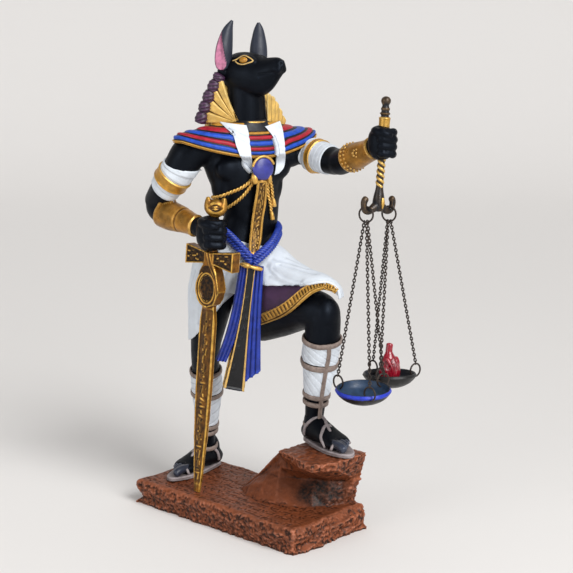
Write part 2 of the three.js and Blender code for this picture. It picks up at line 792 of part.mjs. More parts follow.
for (const { name, side, pan: dish } of scaleSides) {
  const hook = staffMesh.localToWorld(new THREE.Vector3(side * beamHalf, 0, hookDrop));
  const ringCentre = hook.clone();
  ringCentre.z -= hangerRingRadius - hookRadius - ringWire - touchGap * 2;
  const hanger = addPiece(
    `${name}_hanger_ring`,
    new THREE.TorusGeometry(hangerRingRadius, ringWire, 5, 12),
    blackWire
  );
  hanger.rotation.set(Math.PI / 2, degrees(-30), 0);
  hanger.position.copy(ringCentre);

  const panMesh = addPiece(`${name}_pan`, geometryOf(panWithHoles(dish.ringAngles)), panBlack);
  panMesh.position.set(...dish.at);
  panMesh.rotation.set(degrees(dish.tilt), 0, 0);
  panMesh.updateMatrixWorld(true);

  const chainTop = ringCentre.clone();
  chainTop.z -= hangerRingRadius + ringWire + touchGap;
  dish.ringAngles.forEach((angle, i) => {
    const hole = panMesh.localToWorld(new THREE.Vector3(...rimPoint(angle)));
    const ring = addPiece(
      `${name}_pan_ring_${i + 1}`,
      new THREE.TorusGeometry(panRingRadius, ringWire, 5, 10),
      blackWire
    );
    ring.rotation.set(Math.PI / 2, 0, degrees(dish.ringTurns[i]), "ZXY");
    ring.position.set(hole.x, hole.y, hole.z + panRingRadius);
    const lower = ring.position.clone();
    lower.z += panRingRadius + ringWire + touchGap + 0.2;
    const spread = new THREE.Vector3(Math.cos(degrees(angle)), Math.sin(degrees(angle)), 0);
    const upper = chainTop.clone().addScaledVector(spread, 1.2);
    const path = [lower, upper];
    addPiece(
      `${name}_chain_${i + 1}`,
      loft(path.map((p) => [p.x, p.y, p.z, chainRadius, chainRadius, 0]), 5, 1),
      blackWire
    );
  });
}

const heartMesh = addPiece("heart", geometryOf(heart()), heartRed);
const heartSeat = rearPan.at[2] - panDepth + panWall + touchGap + 0.15;
heartMesh.position.set(rearPan.at[0] - 0.2, rearPan.at[1], heartSeat);
heartMesh.rotation.set(degrees(rearPan.tilt), degrees(2), degrees(10));

export default group;
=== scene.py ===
import math
import random

import bmesh
import bpy
import numpy as np
from mathutils import Matrix, Vector, noise
from mathutils.bvhtree import BVHTree


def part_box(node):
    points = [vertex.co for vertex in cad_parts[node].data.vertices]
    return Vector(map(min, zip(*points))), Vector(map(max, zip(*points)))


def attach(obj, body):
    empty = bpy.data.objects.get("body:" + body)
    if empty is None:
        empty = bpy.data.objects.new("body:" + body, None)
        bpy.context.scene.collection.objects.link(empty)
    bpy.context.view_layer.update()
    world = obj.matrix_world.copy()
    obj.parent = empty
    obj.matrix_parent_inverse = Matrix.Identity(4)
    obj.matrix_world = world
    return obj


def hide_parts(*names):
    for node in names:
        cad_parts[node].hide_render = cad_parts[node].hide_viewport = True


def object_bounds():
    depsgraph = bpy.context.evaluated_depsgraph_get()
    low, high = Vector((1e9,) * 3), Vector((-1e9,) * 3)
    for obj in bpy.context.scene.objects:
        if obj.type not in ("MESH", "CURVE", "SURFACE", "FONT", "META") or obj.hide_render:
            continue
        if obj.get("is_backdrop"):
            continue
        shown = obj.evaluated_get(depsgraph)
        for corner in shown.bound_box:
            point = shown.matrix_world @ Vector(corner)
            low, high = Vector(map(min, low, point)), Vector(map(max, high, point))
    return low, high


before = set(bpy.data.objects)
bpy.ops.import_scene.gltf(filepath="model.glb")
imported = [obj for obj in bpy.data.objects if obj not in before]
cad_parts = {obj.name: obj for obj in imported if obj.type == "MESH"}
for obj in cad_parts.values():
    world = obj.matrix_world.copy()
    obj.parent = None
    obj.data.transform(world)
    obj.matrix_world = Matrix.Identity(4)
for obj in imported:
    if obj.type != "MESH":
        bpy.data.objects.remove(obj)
cad_low, cad_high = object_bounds()

# Sizes are in millimetres, in the frame of the CAD model, until a piece is finished
MM = 0.001
TO_MM = 1000
CHEST_TURN = 28
HEAD_TURN = 50
SKULL = (-2, 18)
SLAB_TOP = 14.7
ROCK_TOP = 45
BASE_TURN = -43
SOLE_GAP = 0.3
UP = Vector((0, 0, 1))
TO_VIEWER = Vector((0, -1, 0))
AWAY = Vector((0, 1, 0))
# Upright plane in front of everything, from which things are laid on the figure as the viewer sees them
VIEW_START = -60

# The photograph's camera, fitted to the corners of the base, in metres
FOCAL_PIXELS = 1300
PHOTO_PIXELS = 573
SENSOR_WIDTH = 36
CAMERA_PLACE = (0.0222, -0.7157, 0.2615)
CAMERA_PITCH = 79.9

# Where the floor starts to bend up and the radius of the bend, in metres
BEND_START = 1.7
BEND_RADIUS = 1.1


# ---------------------------------------------------------------- camera, light and floor

def set_camera():
    lens = bpy.data.cameras.new("camera")
    lens.sensor_width = SENSOR_WIDTH
    lens.lens = SENSOR_WIDTH * FOCAL_PIXELS / PHOTO_PIXELS
    lens.clip_start = 0.01
    eye = bpy.data.objects.new("camera", lens)
    eye.location = CAMERA_PLACE
    eye.rotation_euler = (math.radians(CAMERA_PITCH), 0, 0)
    bpy.context.collection.objects.link(eye)
    bpy.context.scene.camera = eye


def set_lamp(name, place, aim, size, watts):
    lamp = bpy.data.lights.new(name, "AREA")
    lamp.shape = "DISK"
    lamp.size = size
    lamp.energy = watts
    holder = bpy.data.objects.new(name, lamp)
    holder.location = place
    holder.rotation_euler = (Vector(aim) - Vector(place)).to_track_quat("-Z", "Y").to_euler()
    bpy.context.collection.objects.link(holder)


def set_floor():
    """Pale floor that curves up into a wall behind."""
    bm = bmesh.new()
    bmesh.ops.create_grid(bm, x_segments=2, y_segments=60, size=8)
    for v in bm.verts:
        far = v.co.y - BEND_START
        a = min(max(far / BEND_RADIUS, 0), math.pi / 2)
        if far > 0:
            v.co.y = BEND_START + BEND_RADIUS * math.sin(a)
            v.co.z = BEND_RADIUS * (1 - math.cos(a)) + max(0, far - BEND_RADIUS * math.pi / 2)
    mesh = bpy.data.meshes.new("floor")
    bm.to_mesh(mesh)
    bm.free()
    for polygon in mesh.polygons:
        polygon.use_smooth = True
    floor = bpy.data.objects.new("floor", mesh)
    bpy.context.collection.objects.link(floor)
    paint = bpy.data.materials.new("pale floor")
    paint.use_nodes = True
    shader = paint.node_tree.nodes["Principled BSDF"]
    shader.inputs["Base Color"].default_value = (0.74, 0.72, 0.7, 1)
    shader.inputs["Roughness"].default_value = 0.9
    shader.inputs["Specular IOR Level"].default_value = 0.2
    mesh.materials.append(paint)
    floor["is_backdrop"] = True


def set_light():
    world = bpy.data.worlds.new("studio")
    world.use_nodes = True
    world.node_tree.nodes["Background"].inputs["Color"].default_value = (0.92, 0.93, 0.95, 1)
    world.node_tree.nodes["Background"].inputs["Strength"].default_value = 0.38
    bpy.context.scene.world = world
    bpy.context.scene.view_settings.view_transform = "Standard"
    sun = bpy.data.lights.new("key", "SUN")
    sun.energy = 2.1
    sun.angle = math.radians(28)
    holder = bpy.data.objects.new("key", sun)
    holder.rotation_euler = Vector((-0.62, 0.72, -0.85)).to_track_quat("-Z", "Y").to_euler()
    bpy.context.collection.objects.link(holder)
    set_lamp("soft box", (0.5, -0.8, 0.5), (0, 0, 0.15), 0.5, 5)
    set_lamp("fill", (-0.8, -0.7, 0.4), (0, 0, 0.14), 0.7, 3)


# ---------------------------------------------------------------- finishes

def linear(colour):
    """Shader colour of one given as red, green and blue up to 255."""
    return tuple(((c / 255 + 0.055) / 1.055) ** 2.4 if c > 10 else c / 255 / 12.92 for c in colour) + (1,)


def darkened(colour, share):
    return tuple(c * share for c in colour[:3]) + (1,)


def add_node(tree, kind, inputs=None, **settings):
    node = tree.nodes.new(kind)
    for key, value in settings.items():
        setattr(node, key, value)
    for key, value in (inputs or {}).items():
        if isinstance(value, bpy.types.NodeSocket):
            tree.links.new(value, node.inputs[key])
        else:
            node.inputs[key].default_value = value
    return node


def blend_colour(tree, amount, low, high):
    return add_node(tree, "ShaderNodeMix", {0: amount, 6: low, 7: high}, data_type="RGBA").outputs[2]


def remap(tree, value, low, high, to_low=0.0, to_high=1.0):
    inputs = {"Value": value, "From Min": low, "From Max": high, "To Min": to_low, "To Max": to_high}
    return add_node(tree, "ShaderNodeMapRange", inputs).outputs["Result"]


def figure_out(tree, kind, *values):
    return add_node(tree, "ShaderNodeMath", dict(enumerate(values)), operation=kind).outputs[0]


def cloud(tree, size, detail=4.0):
    """Soft random field with patches of about the given size in millimetres."""
    where = add_node(tree, "ShaderNodeTexCoord").outputs["Object"]
    inputs = {"Vector": where, "Scale": TO_MM / size, "Detail": detail, "Roughness": 0.55}
    return add_node(tree, "ShaderNodeTexNoise", inputs).outputs["Fac"]


def paint(name, colour, hollow_colour=None, hollow_amount=0.8, edge=None, edge_amount=0.5, rough=0.4, metal=0.0,
          mottle=0.18, patch=4.0, grain=0.12, grain_size=0.6, coat=0.0, pattern=None, reach=0.045, gloss=0.5):
    """Hand-painted resin: mottled colour, hollows washed dark, which also paints the shade there, and paint rubbed off
    the edges, which also paints highlights on them.
    """
    material = bpy.data.materials.new(name)
    material.use_nodes = True
    tree = material.node_tree
    shader = tree.nodes["Principled BSDF"]
    colour = linear(colour)
    darker = darkened(colour, 1 - 2.2 * mottle)
    shade = blend_colour(tree, remap(tree, cloud(tree, patch), 0.35, 0.68), darker, colour)
    if pattern:
        shade = pattern(tree, shade)
    point = add_node(tree, "ShaderNodeNewGeometry").outputs["Pointiness"]
    # Hollows and marked pits take the darker hollow colour: washed paint, partly painted shade
    if hollow_colour:
        pit = add_node(tree, "ShaderNodeAttribute", attribute_name="pit").outputs["Fac"]
        hollow = figure_out(tree, "MAXIMUM", remap(tree, point, 0.498, 0.5 - reach), pit)
        broken = figure_out(tree, "MULTIPLY", hollow, remap(tree, cloud(tree, 1.6), 0.25, 0.6, 0.55, 1.0))
        shade = blend_colour(tree, figure_out(tree, "MULTIPLY", broken, hollow_amount), shade, linear(hollow_colour))
    # Convex edges take the lighter edge colour: rubbed paint, partly painted highlight
    if edge:
        ridge = remap(tree, point, 0.503, 0.5 + reach)
        rubbed_and_highlit = figure_out(tree, "MULTIPLY", ridge, remap(tree, cloud(tree, 2.5), 0.35, 0.65, 0.3, 1.0))
        shade = blend_colour(tree, figure_out(tree, "MULTIPLY", rubbed_and_highlit, edge_amount), shade, linear(edge))
    tree.links.new(shade, shader.inputs["Base Color"])
    roughness = remap(tree, cloud(tree, 3.0), 0.3, 0.7, rough - 0.07, rough + 0.09)
    tree.links.new(roughness, shader.inputs["Roughness"])
    shader.inputs["Metallic"].default_value = metal
    shader.inputs["Coat Weight"].default_value = coat
    shader.inputs["Specular IOR Level"].default_value = gloss
    shader.inputs["Coat Roughness"].default_value = 0.25
    bump = add_node(tree, "ShaderNodeBump", {"Height": cloud(tree, grain_size, 6), "Strength": grain, "Distance": 0.0004})
    tree.links.new(bump.outputs["Normal"], shader.inputs["Normal"])
    return material


def stripe_pattern(stops, across="y", wobble=0.01):
    """Painted bands at fixed places across a piece's own map; each stop is (start, end, colour)."""
    def pattern(tree, shade):
        chart = add_node(tree, "ShaderNodeSeparateXYZ", {0: add_node(tree, "ShaderNodeUVMap").outputs[0]})
        place = chart.outputs["XY".index(across.upper())]
        shaky = figure_out(tree, "ADD", place, remap(tree, cloud(tree, 2.2), 0.3, 0.7, -wobble, wobble))
        out = shade
        for start, end, colour in stops:
            inside = figure_out(tree, "MULTIPLY", figure_out(tree, "GREATER_THAN", shaky, start),
                                figure_out(tree, "LESS_THAN", shaky, end))
            colour = linear(colour)
            tone = blend_colour(tree, remap(tree, cloud(tree, 3.0), 0.35, 0.7), darkened(colour, 0.62), colour)
            out = blend_colour(tree, inside, out, tone)
        return out
    return pattern


# In the finishes below, the dark hollow colours are washed paint and painted shade, and the light edge colours are
# rubbed paint and painted highlights
BLACK_WASH_AND_SHADE = (16, 11, 10)
GOLD = (205, 150, 58)
GOLD_WASH_AND_SHADE = (38, 20, 8)
GOLD_EDGE = (245, 205, 120)
BLUE = (20, 46, 146)
RED = (176, 26, 48)
WHITE = (217, 224, 232)
COLLAR_BLUE = (26, 78, 190)

# The skin's blue-grey edge colour is a painted sheen on its raised parts
skin_paint = paint("satin black skin", (7, 8, 12), edge=(34, 42, 58), edge_amount=0.3, rough=0.42,
                   mottle=0.15, patch=14, grain=0.1, grain_size=1.2, coat=0.0, reach=0.12, gloss=0.15)
skin_paint.node_tree.nodes["Principled BSDF"].inputs["Specular Tint"].default_value = (0.62, 0.76, 1, 1)
gold_paint = paint("antique gold", GOLD, GOLD_WASH_AND_SHADE, 0.95, GOLD_EDGE, 0.55, rough=0.36, metal=0.55, mottle=0.2,
                   patch=3, grain=0.2)
sword_paint = paint("sword gold", (156, 102, 30), (12, 8, 6), 1.0, (246, 196, 92), 0.75, rough=0.34,
                    metal=0.6, mottle=0.3, patch=3.5, grain=0.25, reach=0.03)
staff_paint = paint("staff bronze", (24, 24, 29), BLACK_WASH_AND_SHADE, 0.8, (150, 112, 56), 0.5, rough=0.34,
                    metal=0.3, patch=3, grain=0.25, reach=0.05)
white_paint = paint("white cloth", WHITE, (120, 128, 142), 0.75, rough=0.6, mottle=0.05, patch=8, grain=0.35,
                    grain_size=0.5, reach=0.06)
wrap_paint = paint("white wrappings", WHITE, (96, 92, 96), 0.85, rough=0.65, mottle=0.07, patch=5, grain=0.4,
                   grain_size=0.5, reach=0.04)
blue_paint = paint("royal blue cloth", BLUE, (6, 8, 28), 0.9, (64, 98, 214), 0.45, rough=0.42,
                   mottle=0.2, patch=4, grain=0.2, reach=0.05)
purple_paint = paint("purple underskirt", (66, 38, 70), (22, 10, 24), 0.7, rough=0.55, mottle=0.2,
                     patch=7, grain=0.25)
braid_paint = paint("dark purple braid", (54, 28, 54), (14, 6, 14), 0.9, (110, 70, 110), 0.5,
                    rough=0.42, patch=2, grain=0.25)
strap_paint = paint("worn strap", (116, 98, 90), (44, 34, 32), 0.85, (168, 152, 142), 0.5, rough=0.55,
                    patch=3, grain=0.3)
toe_paint = paint("blue-black toes", (32, 38, 56), (8, 8, 12), 0.8, (96, 106, 126), 0.5, rough=0.36,
                  patch=3, grain=0.15)
disc_paint = paint("blue-violet disc", (50, 54, 140), (14, 10, 44), 0.8, (100, 104, 200), 0.4,
                   rough=0.36, patch=4, grain=0.1, coat=0.08)
wire_paint = paint("black wire", (18, 15, 15), (6, 5, 5), 0.5, (96, 80, 70), 0.35, rough=0.4,
                   metal=0.25, gloss=0.35, patch=1.5, grain=0.2)
heart_paint = paint("crimson heart", (146, 14, 36), (44, 2, 10), 0.9, (214, 70, 88), 0.25, rough=0.25,
                    patch=4, grain=0.2, coat=0.4)
sole_paint = paint("sandal leather", (140, 128, 128), (50, 44, 48), 0.85, (190, 182, 184), 0.4, rough=0.55,
                   patch=3, grain=0.3)
staff_gold_paint = paint("staff gold", (196, 148, 60), (24, 14, 8), 1.0, (250, 214, 130), 0.6, rough=0.32,
                         metal=0.6, patch=2, grain=0.2, reach=0.05)
rock_paint = paint("copper-brown rock", (124, 66, 38), (12, 8, 6), 1.0, (200, 128, 98), 0.55, rough=0.46,
                   metal=0.05, mottle=0.18, patch=7, grain=0.45, grain_size=1.1, reach=0.05, gloss=0.2)
# The front pan's bright blue rim band and slate-blue inside are partly paint and partly painted light: a highlight on
# the rim and the lit inside
front_pan_paint = paint("front pan", (20, 19, 20), rough=0.42, metal=0.1, patch=4, grain=0.25, gloss=0.4,
                        pattern=stripe_pattern([(0.3, 0.485, (34, 58, 190)), (0.6, 1.01, (40, 64, 92))],
                                               wobble=0.012))
rear_pan_paint = paint("rear pan", (20, 19, 20), rough=0.42, metal=0.1, patch=4, grain=0.25, gloss=0.4,
                       pattern=stripe_pattern([(0.58, 1.01, (36, 38, 46))], wobble=0.01))
iris_paint = paint("amber iris", (196, 136, 32), (60, 30, 8), 0.6, rough=0.25, patch=1.2, grain=0.1, coat=0.3)
liner_paint = paint("cream gold liner", (226, 188, 116), (90, 60, 24), 0.5, rough=0.38, metal=0.2, patch=2,
                    grain=0.15)
bracer_paint = paint("bracer gold", (188, 130, 44), (40, 20, 8), 0.95, (250, 206, 120), 0.65, rough=0.33,
                     metal=0.6, mottle=0.3, patch=7, grain=0.2, reach=0.05)


# ---------------------------------------------------------------- modelling helpers

def clamp(x):
    """Nearest value between nought and one."""
    return min(1, max(0, x))


def bell(x, width):
    return math.exp(-(x / width) ** 2)


def direction(turn):
    """Ahead and left of something turned about the upright."""
    a = math.radians(turn)
    return Vector((math.sin(a), -math.cos(a), 0)), Vector((math.cos(a), math.sin(a), 0))


def pace(start, turn, ahead, left, z):
    forward, side = direction(turn)
    return Vector((start[0], start[1], 0)) + forward * ahead + side * left + Vector((0, 0, z))


def smooth_path(points, steps):
    """Evenly stepped curve through points of any number of values."""
    points = [Vector(p) for p in points]
    out = []
    for i in range(len(points) - 1):
        a, b, c = points[max(i - 1, 0)], points[i], points[i + 1]
        d = points[min(i + 2, len(points) - 1)]
        for k in range(steps):
            t = k / steps
            out.append((b * 2 + (c - a) * t + (a * 2 - b * 5 + c * 4 - d) * t * t
                        + (b * 3 - a - c * 3 + d) * t * t * t) * 0.5)
    out.append(points[-1])
    return out


def path_frame(rows, k):
    """Place, forward, across and deep directions at row k of a tube's stations."""
    here = Vector(rows[k][:3])
    ahead = (Vector(rows[min(k + 1, len(rows) - 1)][:3]) - Vector(rows[max(k - 1, 0)][:3])).normalized()
    turn = math.radians(rows[k][5] if len(rows[k]) > 5 else 0)
    across = Vector((math.cos(turn), math.sin(turn), 0))
    across -= ahead * across.dot(ahead)
    if across.length < 0.2:
        across = ahead.orthogonal()
    across.normalize()
    return here, ahead, across, ahead.cross(across)


def filled(stations):
    """Stations with their half depth and turn filled in."""
    return [tuple(s) + ((s[3],) if len(s) == 4 else ()) + ((0,) if len(s) < 6 else ()) for s in stations]


def skin_over(bm, rings, closed=False):
    """Bridges rings of edges, each made when its turn comes, and caps the run or closes it onto its start."""
    first = last = None
    for edges in rings:
        if last:
            bmesh.ops.bridge_loops(bm, edges=last + edges)
        first = first or edges
        last = edges
    if closed:
        bmesh.ops.bridge_loops(bm, edges=last + first)
    else:
        for edges in (first, last):
            bmesh.ops.contextual_create(bm, geom=edges)
    return bm


def add_ring(bm, sides, across, deep, ahead, centre):
    """Ellipse with the given half axes: its vertices and edges."""
    place = Matrix((across, deep, ahead)).transposed().to_4x4()
    place.translation = centre
    made = bmesh.ops.create_circle(bm, segments=sides, radius=1, matrix=place)["verts"]
    return made, list(dict.fromkeys(e for v in made for e in v.link_edges))


# Share of its full size, and push outward, of each ring in a rounded end
DOME = ((1, 0), (0.95, 0.15), (0.75, 0.33), (0.3, 0.48))


def tube(bm, stations, sides=20, steps=4, corner=1.0, dome=True):
    """Closed body through stations of (x, y, z, half width, half depth, turn of the width axis)."""
    rows = smooth_path(filled(stations), steps)

    def rings():
        for k, row in enumerate(rows):
            here, ahead, across, deep = path_frame(rows, k)
            wide, tall = max(row[3], 0.05), max(row[4], 0.05)
            shrinks = [(1, 0)]
            if dome and k == 0:
                shrinks = [(shrink, -push) for shrink, push in reversed(DOME)]
            if dome and k == len(rows) - 1:
                shrinks = DOME
            for shrink, push in shrinks:
                centre = here + ahead * push * min(wide, tall)
                made, edges = add_ring(bm, sides, across * wide * shrink, deep * tall * shrink, ahead, centre)
                if corner != 1:
                    for v in made:
                        off = v.co - centre
                        u = off.dot(across) / (wide * shrink)
                        w = off.dot(deep) / (tall * shrink)
                        u = math.copysign(abs(u) ** corner, u)
                        w = math.copysign(abs(w) ** corner, w)
                        v.co = centre + across * u * wide * shrink + deep * w * tall * shrink
                yield edges
    return skin_over(bm, rings())


def blob(bm, centre, radii, turn=0, lean=0, segments=20):
    """Ellipsoid, turned about the upright after leaning about its own width axis."""
    place = Matrix.Translation(centre) @ Matrix.Rotation(math.radians(turn), 4, "Z")
    place = place @ Matrix.Rotation(math.radians(lean), 4, "X") @ Matrix.Diagonal((*radii, 1))
    bmesh.ops.create_uvsphere(bm, u_segments=segments, v_segments=segments // 2, radius=1, matrix=place)


def melt(bm, voxel=0.7, soften=6):
    """Melts overlapping shapes into one even skin."""
    bmesh.ops.recalc_face_normals(bm, faces=bm.faces)
    mesh = bpy.data.meshes.new("melt")
    bm.to_mesh(mesh)
    bm.free()
    holder = bpy.data.objects.new("melt", mesh)
    bpy.context.collection.objects.link(holder)
    grid = holder.modifiers.new("grid", "REMESH")
    grid.mode = "VOXEL"
    grid.voxel_size = voxel
    ease = holder.modifiers.new("ease", "SMOOTH")
    ease.factor = 0.5
    ease.iterations = soften
    seen = holder.evaluated_get(bpy.context.evaluated_depsgraph_get())
    out = bmesh.new()
    out.from_mesh(seen.to_mesh())
    seen.to_mesh_clear()
    bpy.data.objects.remove(holder)
    bpy.data.meshes.remove(mesh)
    return out


def press(bm, paths, width, depth, darkening=0.0, steps=6):
    """Draws grooves (or ridges, with a negative depth) into a dense skin, and darkens them, partly as painted shade, or
    clears them.
    """
    pit = bm.verts.layers.float.get("pit") or bm.verts.layers.float.new("pit")
    bm.normal_update()
    verts = list(bm.verts)
    co = np.array([v.co for v in verts])
    best = np.full(len(verts), 1e9)
    for path in paths:
        line = np.array([tuple(p) for p in (smooth_path(path, steps) if len(path) > 2 else path)])
        low, high = line.min(0) - width * 2.4, line.max(0) + width * 2.4
        near = np.where(((co > low) & (co < high)).all(1))[0]
        if not len(near):
            continue
        spot = co[near]
        gap = np.linalg.norm(spot - line[0], axis=1)
        for a, b in zip(line[:-1], line[1:]):
            ab = b - a
            t = np.clip(((spot - a) @ ab) / max(ab @ ab, 1e-9), 0, 1)
            gap = np.minimum(gap, np.linalg.norm(spot - (a + t[:, None] * ab), axis=1))
        best[near] = np.minimum(best[near], gap)
    share = np.exp(-(best / width) ** 2)
    moved = [(v, float(m)) for v, m in zip(verts, share) if m > 0.02]
    for v, m in moved:
        v[pit] = clamp(v[pit] + darkening * m)
    for v, m in moved:
        v.co -= v.normal * m * depth


def cad_copy(name, place=None):
    """Copy of a CAD node's mesh in millimetres, merged, and moved into its own frame if one is given."""
    bm = bmesh.new()
    bm.from_mesh(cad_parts[name].data)
    bmesh.ops.scale(bm, vec=(TO_MM, TO_MM, TO_MM), verts=bm.verts)
    bmesh.ops.remove_doubles(bm, verts=bm.verts, dist=0.01)
    if place:
        bmesh.ops.transform(bm, matrix=place.inverted(), verts=bm.verts)
    return bm


# Groups of short strokes, each stroke a start and an end in half widths and half heights of its group
STROKES = (
    (((-0.9, -0.6), (0.2, -0.8)), ((0.6, 0.2), (0.7, 0.3)), ((-0.5, 0.5), (-0.4, 0.6))),
    (((-0.9, 0.7), (0.2, 0.75)), ((-0.3, 0), (1, 0.1)), ((-0.9, -0.7), (-0.3, -0.75))),
    (((-0.8, 0.4), (0.9, 0.6)), ((-0.6, -0.6), (-0.5, -0.5)), ((0.4, -0.4), (0.8, -0.5))),
    tuple(((i, k), (i + 0.18, k)) for i, k in ((-0.9, 0.6), (-0.2, -0.2), (0.6, 0.5), (0.3, -0.9))),
    (((-0.8, -0.9), (-0.7, 0.2)), ((-0.2, -0.3), (-0.1, 0.9)), ((0.5, -0.8), (0.6, -0.1))),
    (((-1, -0.5), (1, -0.3)), ((0.3, 0.6), (0.9, 0.7))),
    (((-0.8, 0.8), (-0.2, -0.1)), ((0.5, -0.6), (0.7, -0.6)), ((0.4, 0.5), (0.9, 0.4))),
)


def stroke_row(origin, along, up, length, height, gap, seed, size=1.0):
    """Row of short strokes that spell nothing: dashes, ticks and dots."""
    luck = random.Random(seed)
    origin, along, up = Vector(origin), Vector(along), Vector(up)
    out = []
    x = gap * 0.4
    while x < length - gap * 0.6:
        base = origin + along * x + up * (height * 0.5)
        w, h = gap * luck.uniform(0.28, 0.42) * size, height * luck.uniform(0.26, 0.36) * size
        base += up * height * luck.uniform(-0.12, 0.12)
        out += [[base + along * (i * w) + up * (k * h) for i, k in stroke] for stroke in STROKES[luck.randrange(7)]]
        x += gap * luck.uniform(0.9, 1.15)
    return out


def loop_tube(bm, points, radius, sides=8):
    """Closed round wire through the given points."""
    count = len(points)
    middle = sum(points, Vector()) / count

    def rings():
        for k in range(count):
            ahead = (points[(k + 1) % count] - points[k - 1]).normalized()
            out = points[k] - middle
            out = (out - ahead * out.dot(ahead)).normalized()
            yield add_ring(bm, sides, out * radius, ahead.cross(out) * radius, ahead, points[k])[1]
    return skin_over(bm, rings(), closed=True)


def roughen(bm, amount, size, seed):
    """Random relief of a given depth and size."""
    bm.normal_update()
    for v in bm.verts:
        v.co += v.normal * amount * noise.noise(v.co / size + Vector((seed, seed, seed)))


def sheet(place, nu, nv, thick=0.0, closed=False, darkening=None):
    """Surface with its own map: place(u, v) gives the point for 0 <= u, v <= 1; stain(u, v) darkens it."""
    bm = bmesh.new()
    bmesh.ops.create_grid(bm, x_segments=nu, y_segments=nv, size=0.5)
    chart = bm.loops.layers.uv.new("UVMap")
    pit = bm.verts.layers.float.new("pit")
    spots = {v: (v.co.x + 0.5, v.co.y + 0.5) for v in bm.verts}
    for face in bm.faces:
        for loop in face.loops:
            loop[chart].uv = spots[loop.vert]
    for v, (s, t) in spots.items():
        v.co = place(s, t)
        if darkening:
            v[pit] = darkening(s, t)
    if closed:
        bmesh.ops.remove_doubles(bm, verts=bm.verts, dist=0.02)
        bmesh.ops.recalc_face_normals(bm, faces=bm.faces)
    bm.normal_update()
    middle = sum((v.co for v in bm.verts), Vector()) / len(bm.verts)
    outward = sum(v.normal.dot(v.co - middle if closed else TO_VIEWER) for v in bm.verts)
    if outward < 0:
        bmesh.ops.reverse_faces(bm, faces=bm.faces)
    if thick:
        thicken(bm, thick)
    return bm


def thicken(bm, depth):
    """Gives a sheet a wall behind its face."""
    bm.normal_update()
    push = [(v, v.normal * depth) for v in bm.verts]
    bmesh.ops.extrude_face_region(bm, geom=bm.faces[:], use_keep_orig=True)
    for v, back in push:
        v.co -= back
    bmesh.ops.recalc_face_normals(bm, faces=bm.faces)


def lerp_on(rows, t):
    """Point at part t of evenly numbered rows."""
    at = clamp(t) * (len(rows) - 1)
    k = min(int(at), len(rows) - 2)
    return rows[k].lerp(rows[k + 1], at - k)


def hose(path, radius, nu, nv):
    """Closed, round-ended body along a path; radius(u, v) gives its relief."""
    line = smooth_path(path, 8)
    count = len(line) - 1

    def place(u, v):
        here = lerp_on(line, v)
        k = min(int(v * count), count - 1)
        ahead = (line[k + 1] - line[k]).lerp(line[min(k + 2, count)] - line[min(k + 1, count - 1)], v * count - k)
        ahead.normalize()
        side = ahead.cross(UP if abs(ahead.z) < 0.95 else Vector((0, 1, 0))).normalized()
        rise = side.cross(ahead)
        a = 2 * math.pi * u
        end = min(1, math.sqrt(max(0, min(v, 1 - v)) / 0.03 + 1e-6))
        return here + (side * math.cos(a) + rise * math.sin(a)) * radius(u, v) * end
    return sheet(place, nu, nv, closed=True)


def panel(base, ahead, left_edge, right_edge, lift, nu, nv, thick, darkening=None):
    """Hanging cloth between two edges given as (sideways, height) in an upright plane."""
    base, ahead = Vector((*base, 0)), Vector((*ahead, 0))
    along = (ahead - base).normalized()
    out = Vector((along.y, -along.x, 0))
    left_rows, right_rows = smooth_path(left_edge, 6), smooth_path(right_edge, 6)

    def place(u, v):
        s, z = lerp_on(left_rows, v).lerp(lerp_on(right_rows, v), u)[:2]
        return base + along * s + UP * z + out * lift(u, v)
    return sheet(place, nu, nv, thick, darkening=darkening)


def rope(bm, path, radius, strand, pitch, strands=2, sides=7, start=0.0):
    """Strands twisted round a path."""
    line = smooth_path(path, 10)
    length = 0.0
    runs = [[] for _ in range(strands)]
    for k, spot in enumerate(line):
        if k:
            length += (spot - line[k - 1]).length
        ahead = (line[min(k + 1, len(line) - 1)] - line[max(k - 1, 0)]).normalized()
        side = ahead.cross(UP if abs(ahead.z) < 0.9 else Vector((1, 0, 0))).normalized()
        rise = side.cross(ahead)
        for n in range(strands):
            a = 2 * math.pi * (length / pitch + n / strands) + start
            runs[n].append(tuple(spot + side * math.cos(a) * radius + rise * math.sin(a) * radius) + (strand,))
    for run in runs:
        tube(bm, run, sides=sides, steps=1)
    return bm


def join(*shapes, keep=False):
    """One mesh of several shapes, with their maps."""
    whole = bmesh.new()
    whole.loops.layers.uv.new("UVMap")
    for bm in shapes:
        mesh = bpy.data.meshes.new("part")
        bm.to_mesh(mesh)
        whole.from_mesh(mesh)
        bpy.data.meshes.remove(mesh)
        if not keep:
            bm.free()
    return whole


def tree_of(*shapes):
    """Search tree of one or more skins, for laying things on them."""
    whole = join(*shapes, keep=True)
    tree = BVHTree.FromBMesh(whole)
    whole.free()
    return tree


def from_front(tree, x, z):
    """What a ray straight back from the viewer's side meets."""
    return tree.ray_cast(Vector((x, VIEW_START, z)), AWAY)


def ease(laid, rounds, turn=True):
    """Evens out a laid path and, unless told not to, its directions; its ends stay."""
    for _ in range(rounds):
        laid = [laid[0]] + [
            (laid[k][0] * 0.5 + (laid[k - 1][0] + laid[k + 1][0]) * 0.25,
             (laid[k - 1][1] + laid[k][1] * 2 + laid[k + 1][1]).normalized() if turn else laid[k][1])
            for k in range(1, len(laid) - 1)
        ] + [laid[-1]]
    return laid


def lay_from_front(tree, points, lift=0.0):
    """Path given as seen from the front, laid on the skin behind it."""
    laid = []
    for x, z, _ in points:
        spot, normal, _, _ = from_front(tree, x, z)
        if spot:
            laid.append((spot + normal * lift, normal))
    return laid


def lay(tree, points, lift=0.0, steps=4):
    """Path laid on a skin: list of (point, outward direction)."""
    laid = []
    for p in smooth_path(points, steps):
        spot, normal, _, _ = tree.find_nearest(p)
        laid.append((spot + normal * lift, normal.copy()))
    return ease(laid, 2)


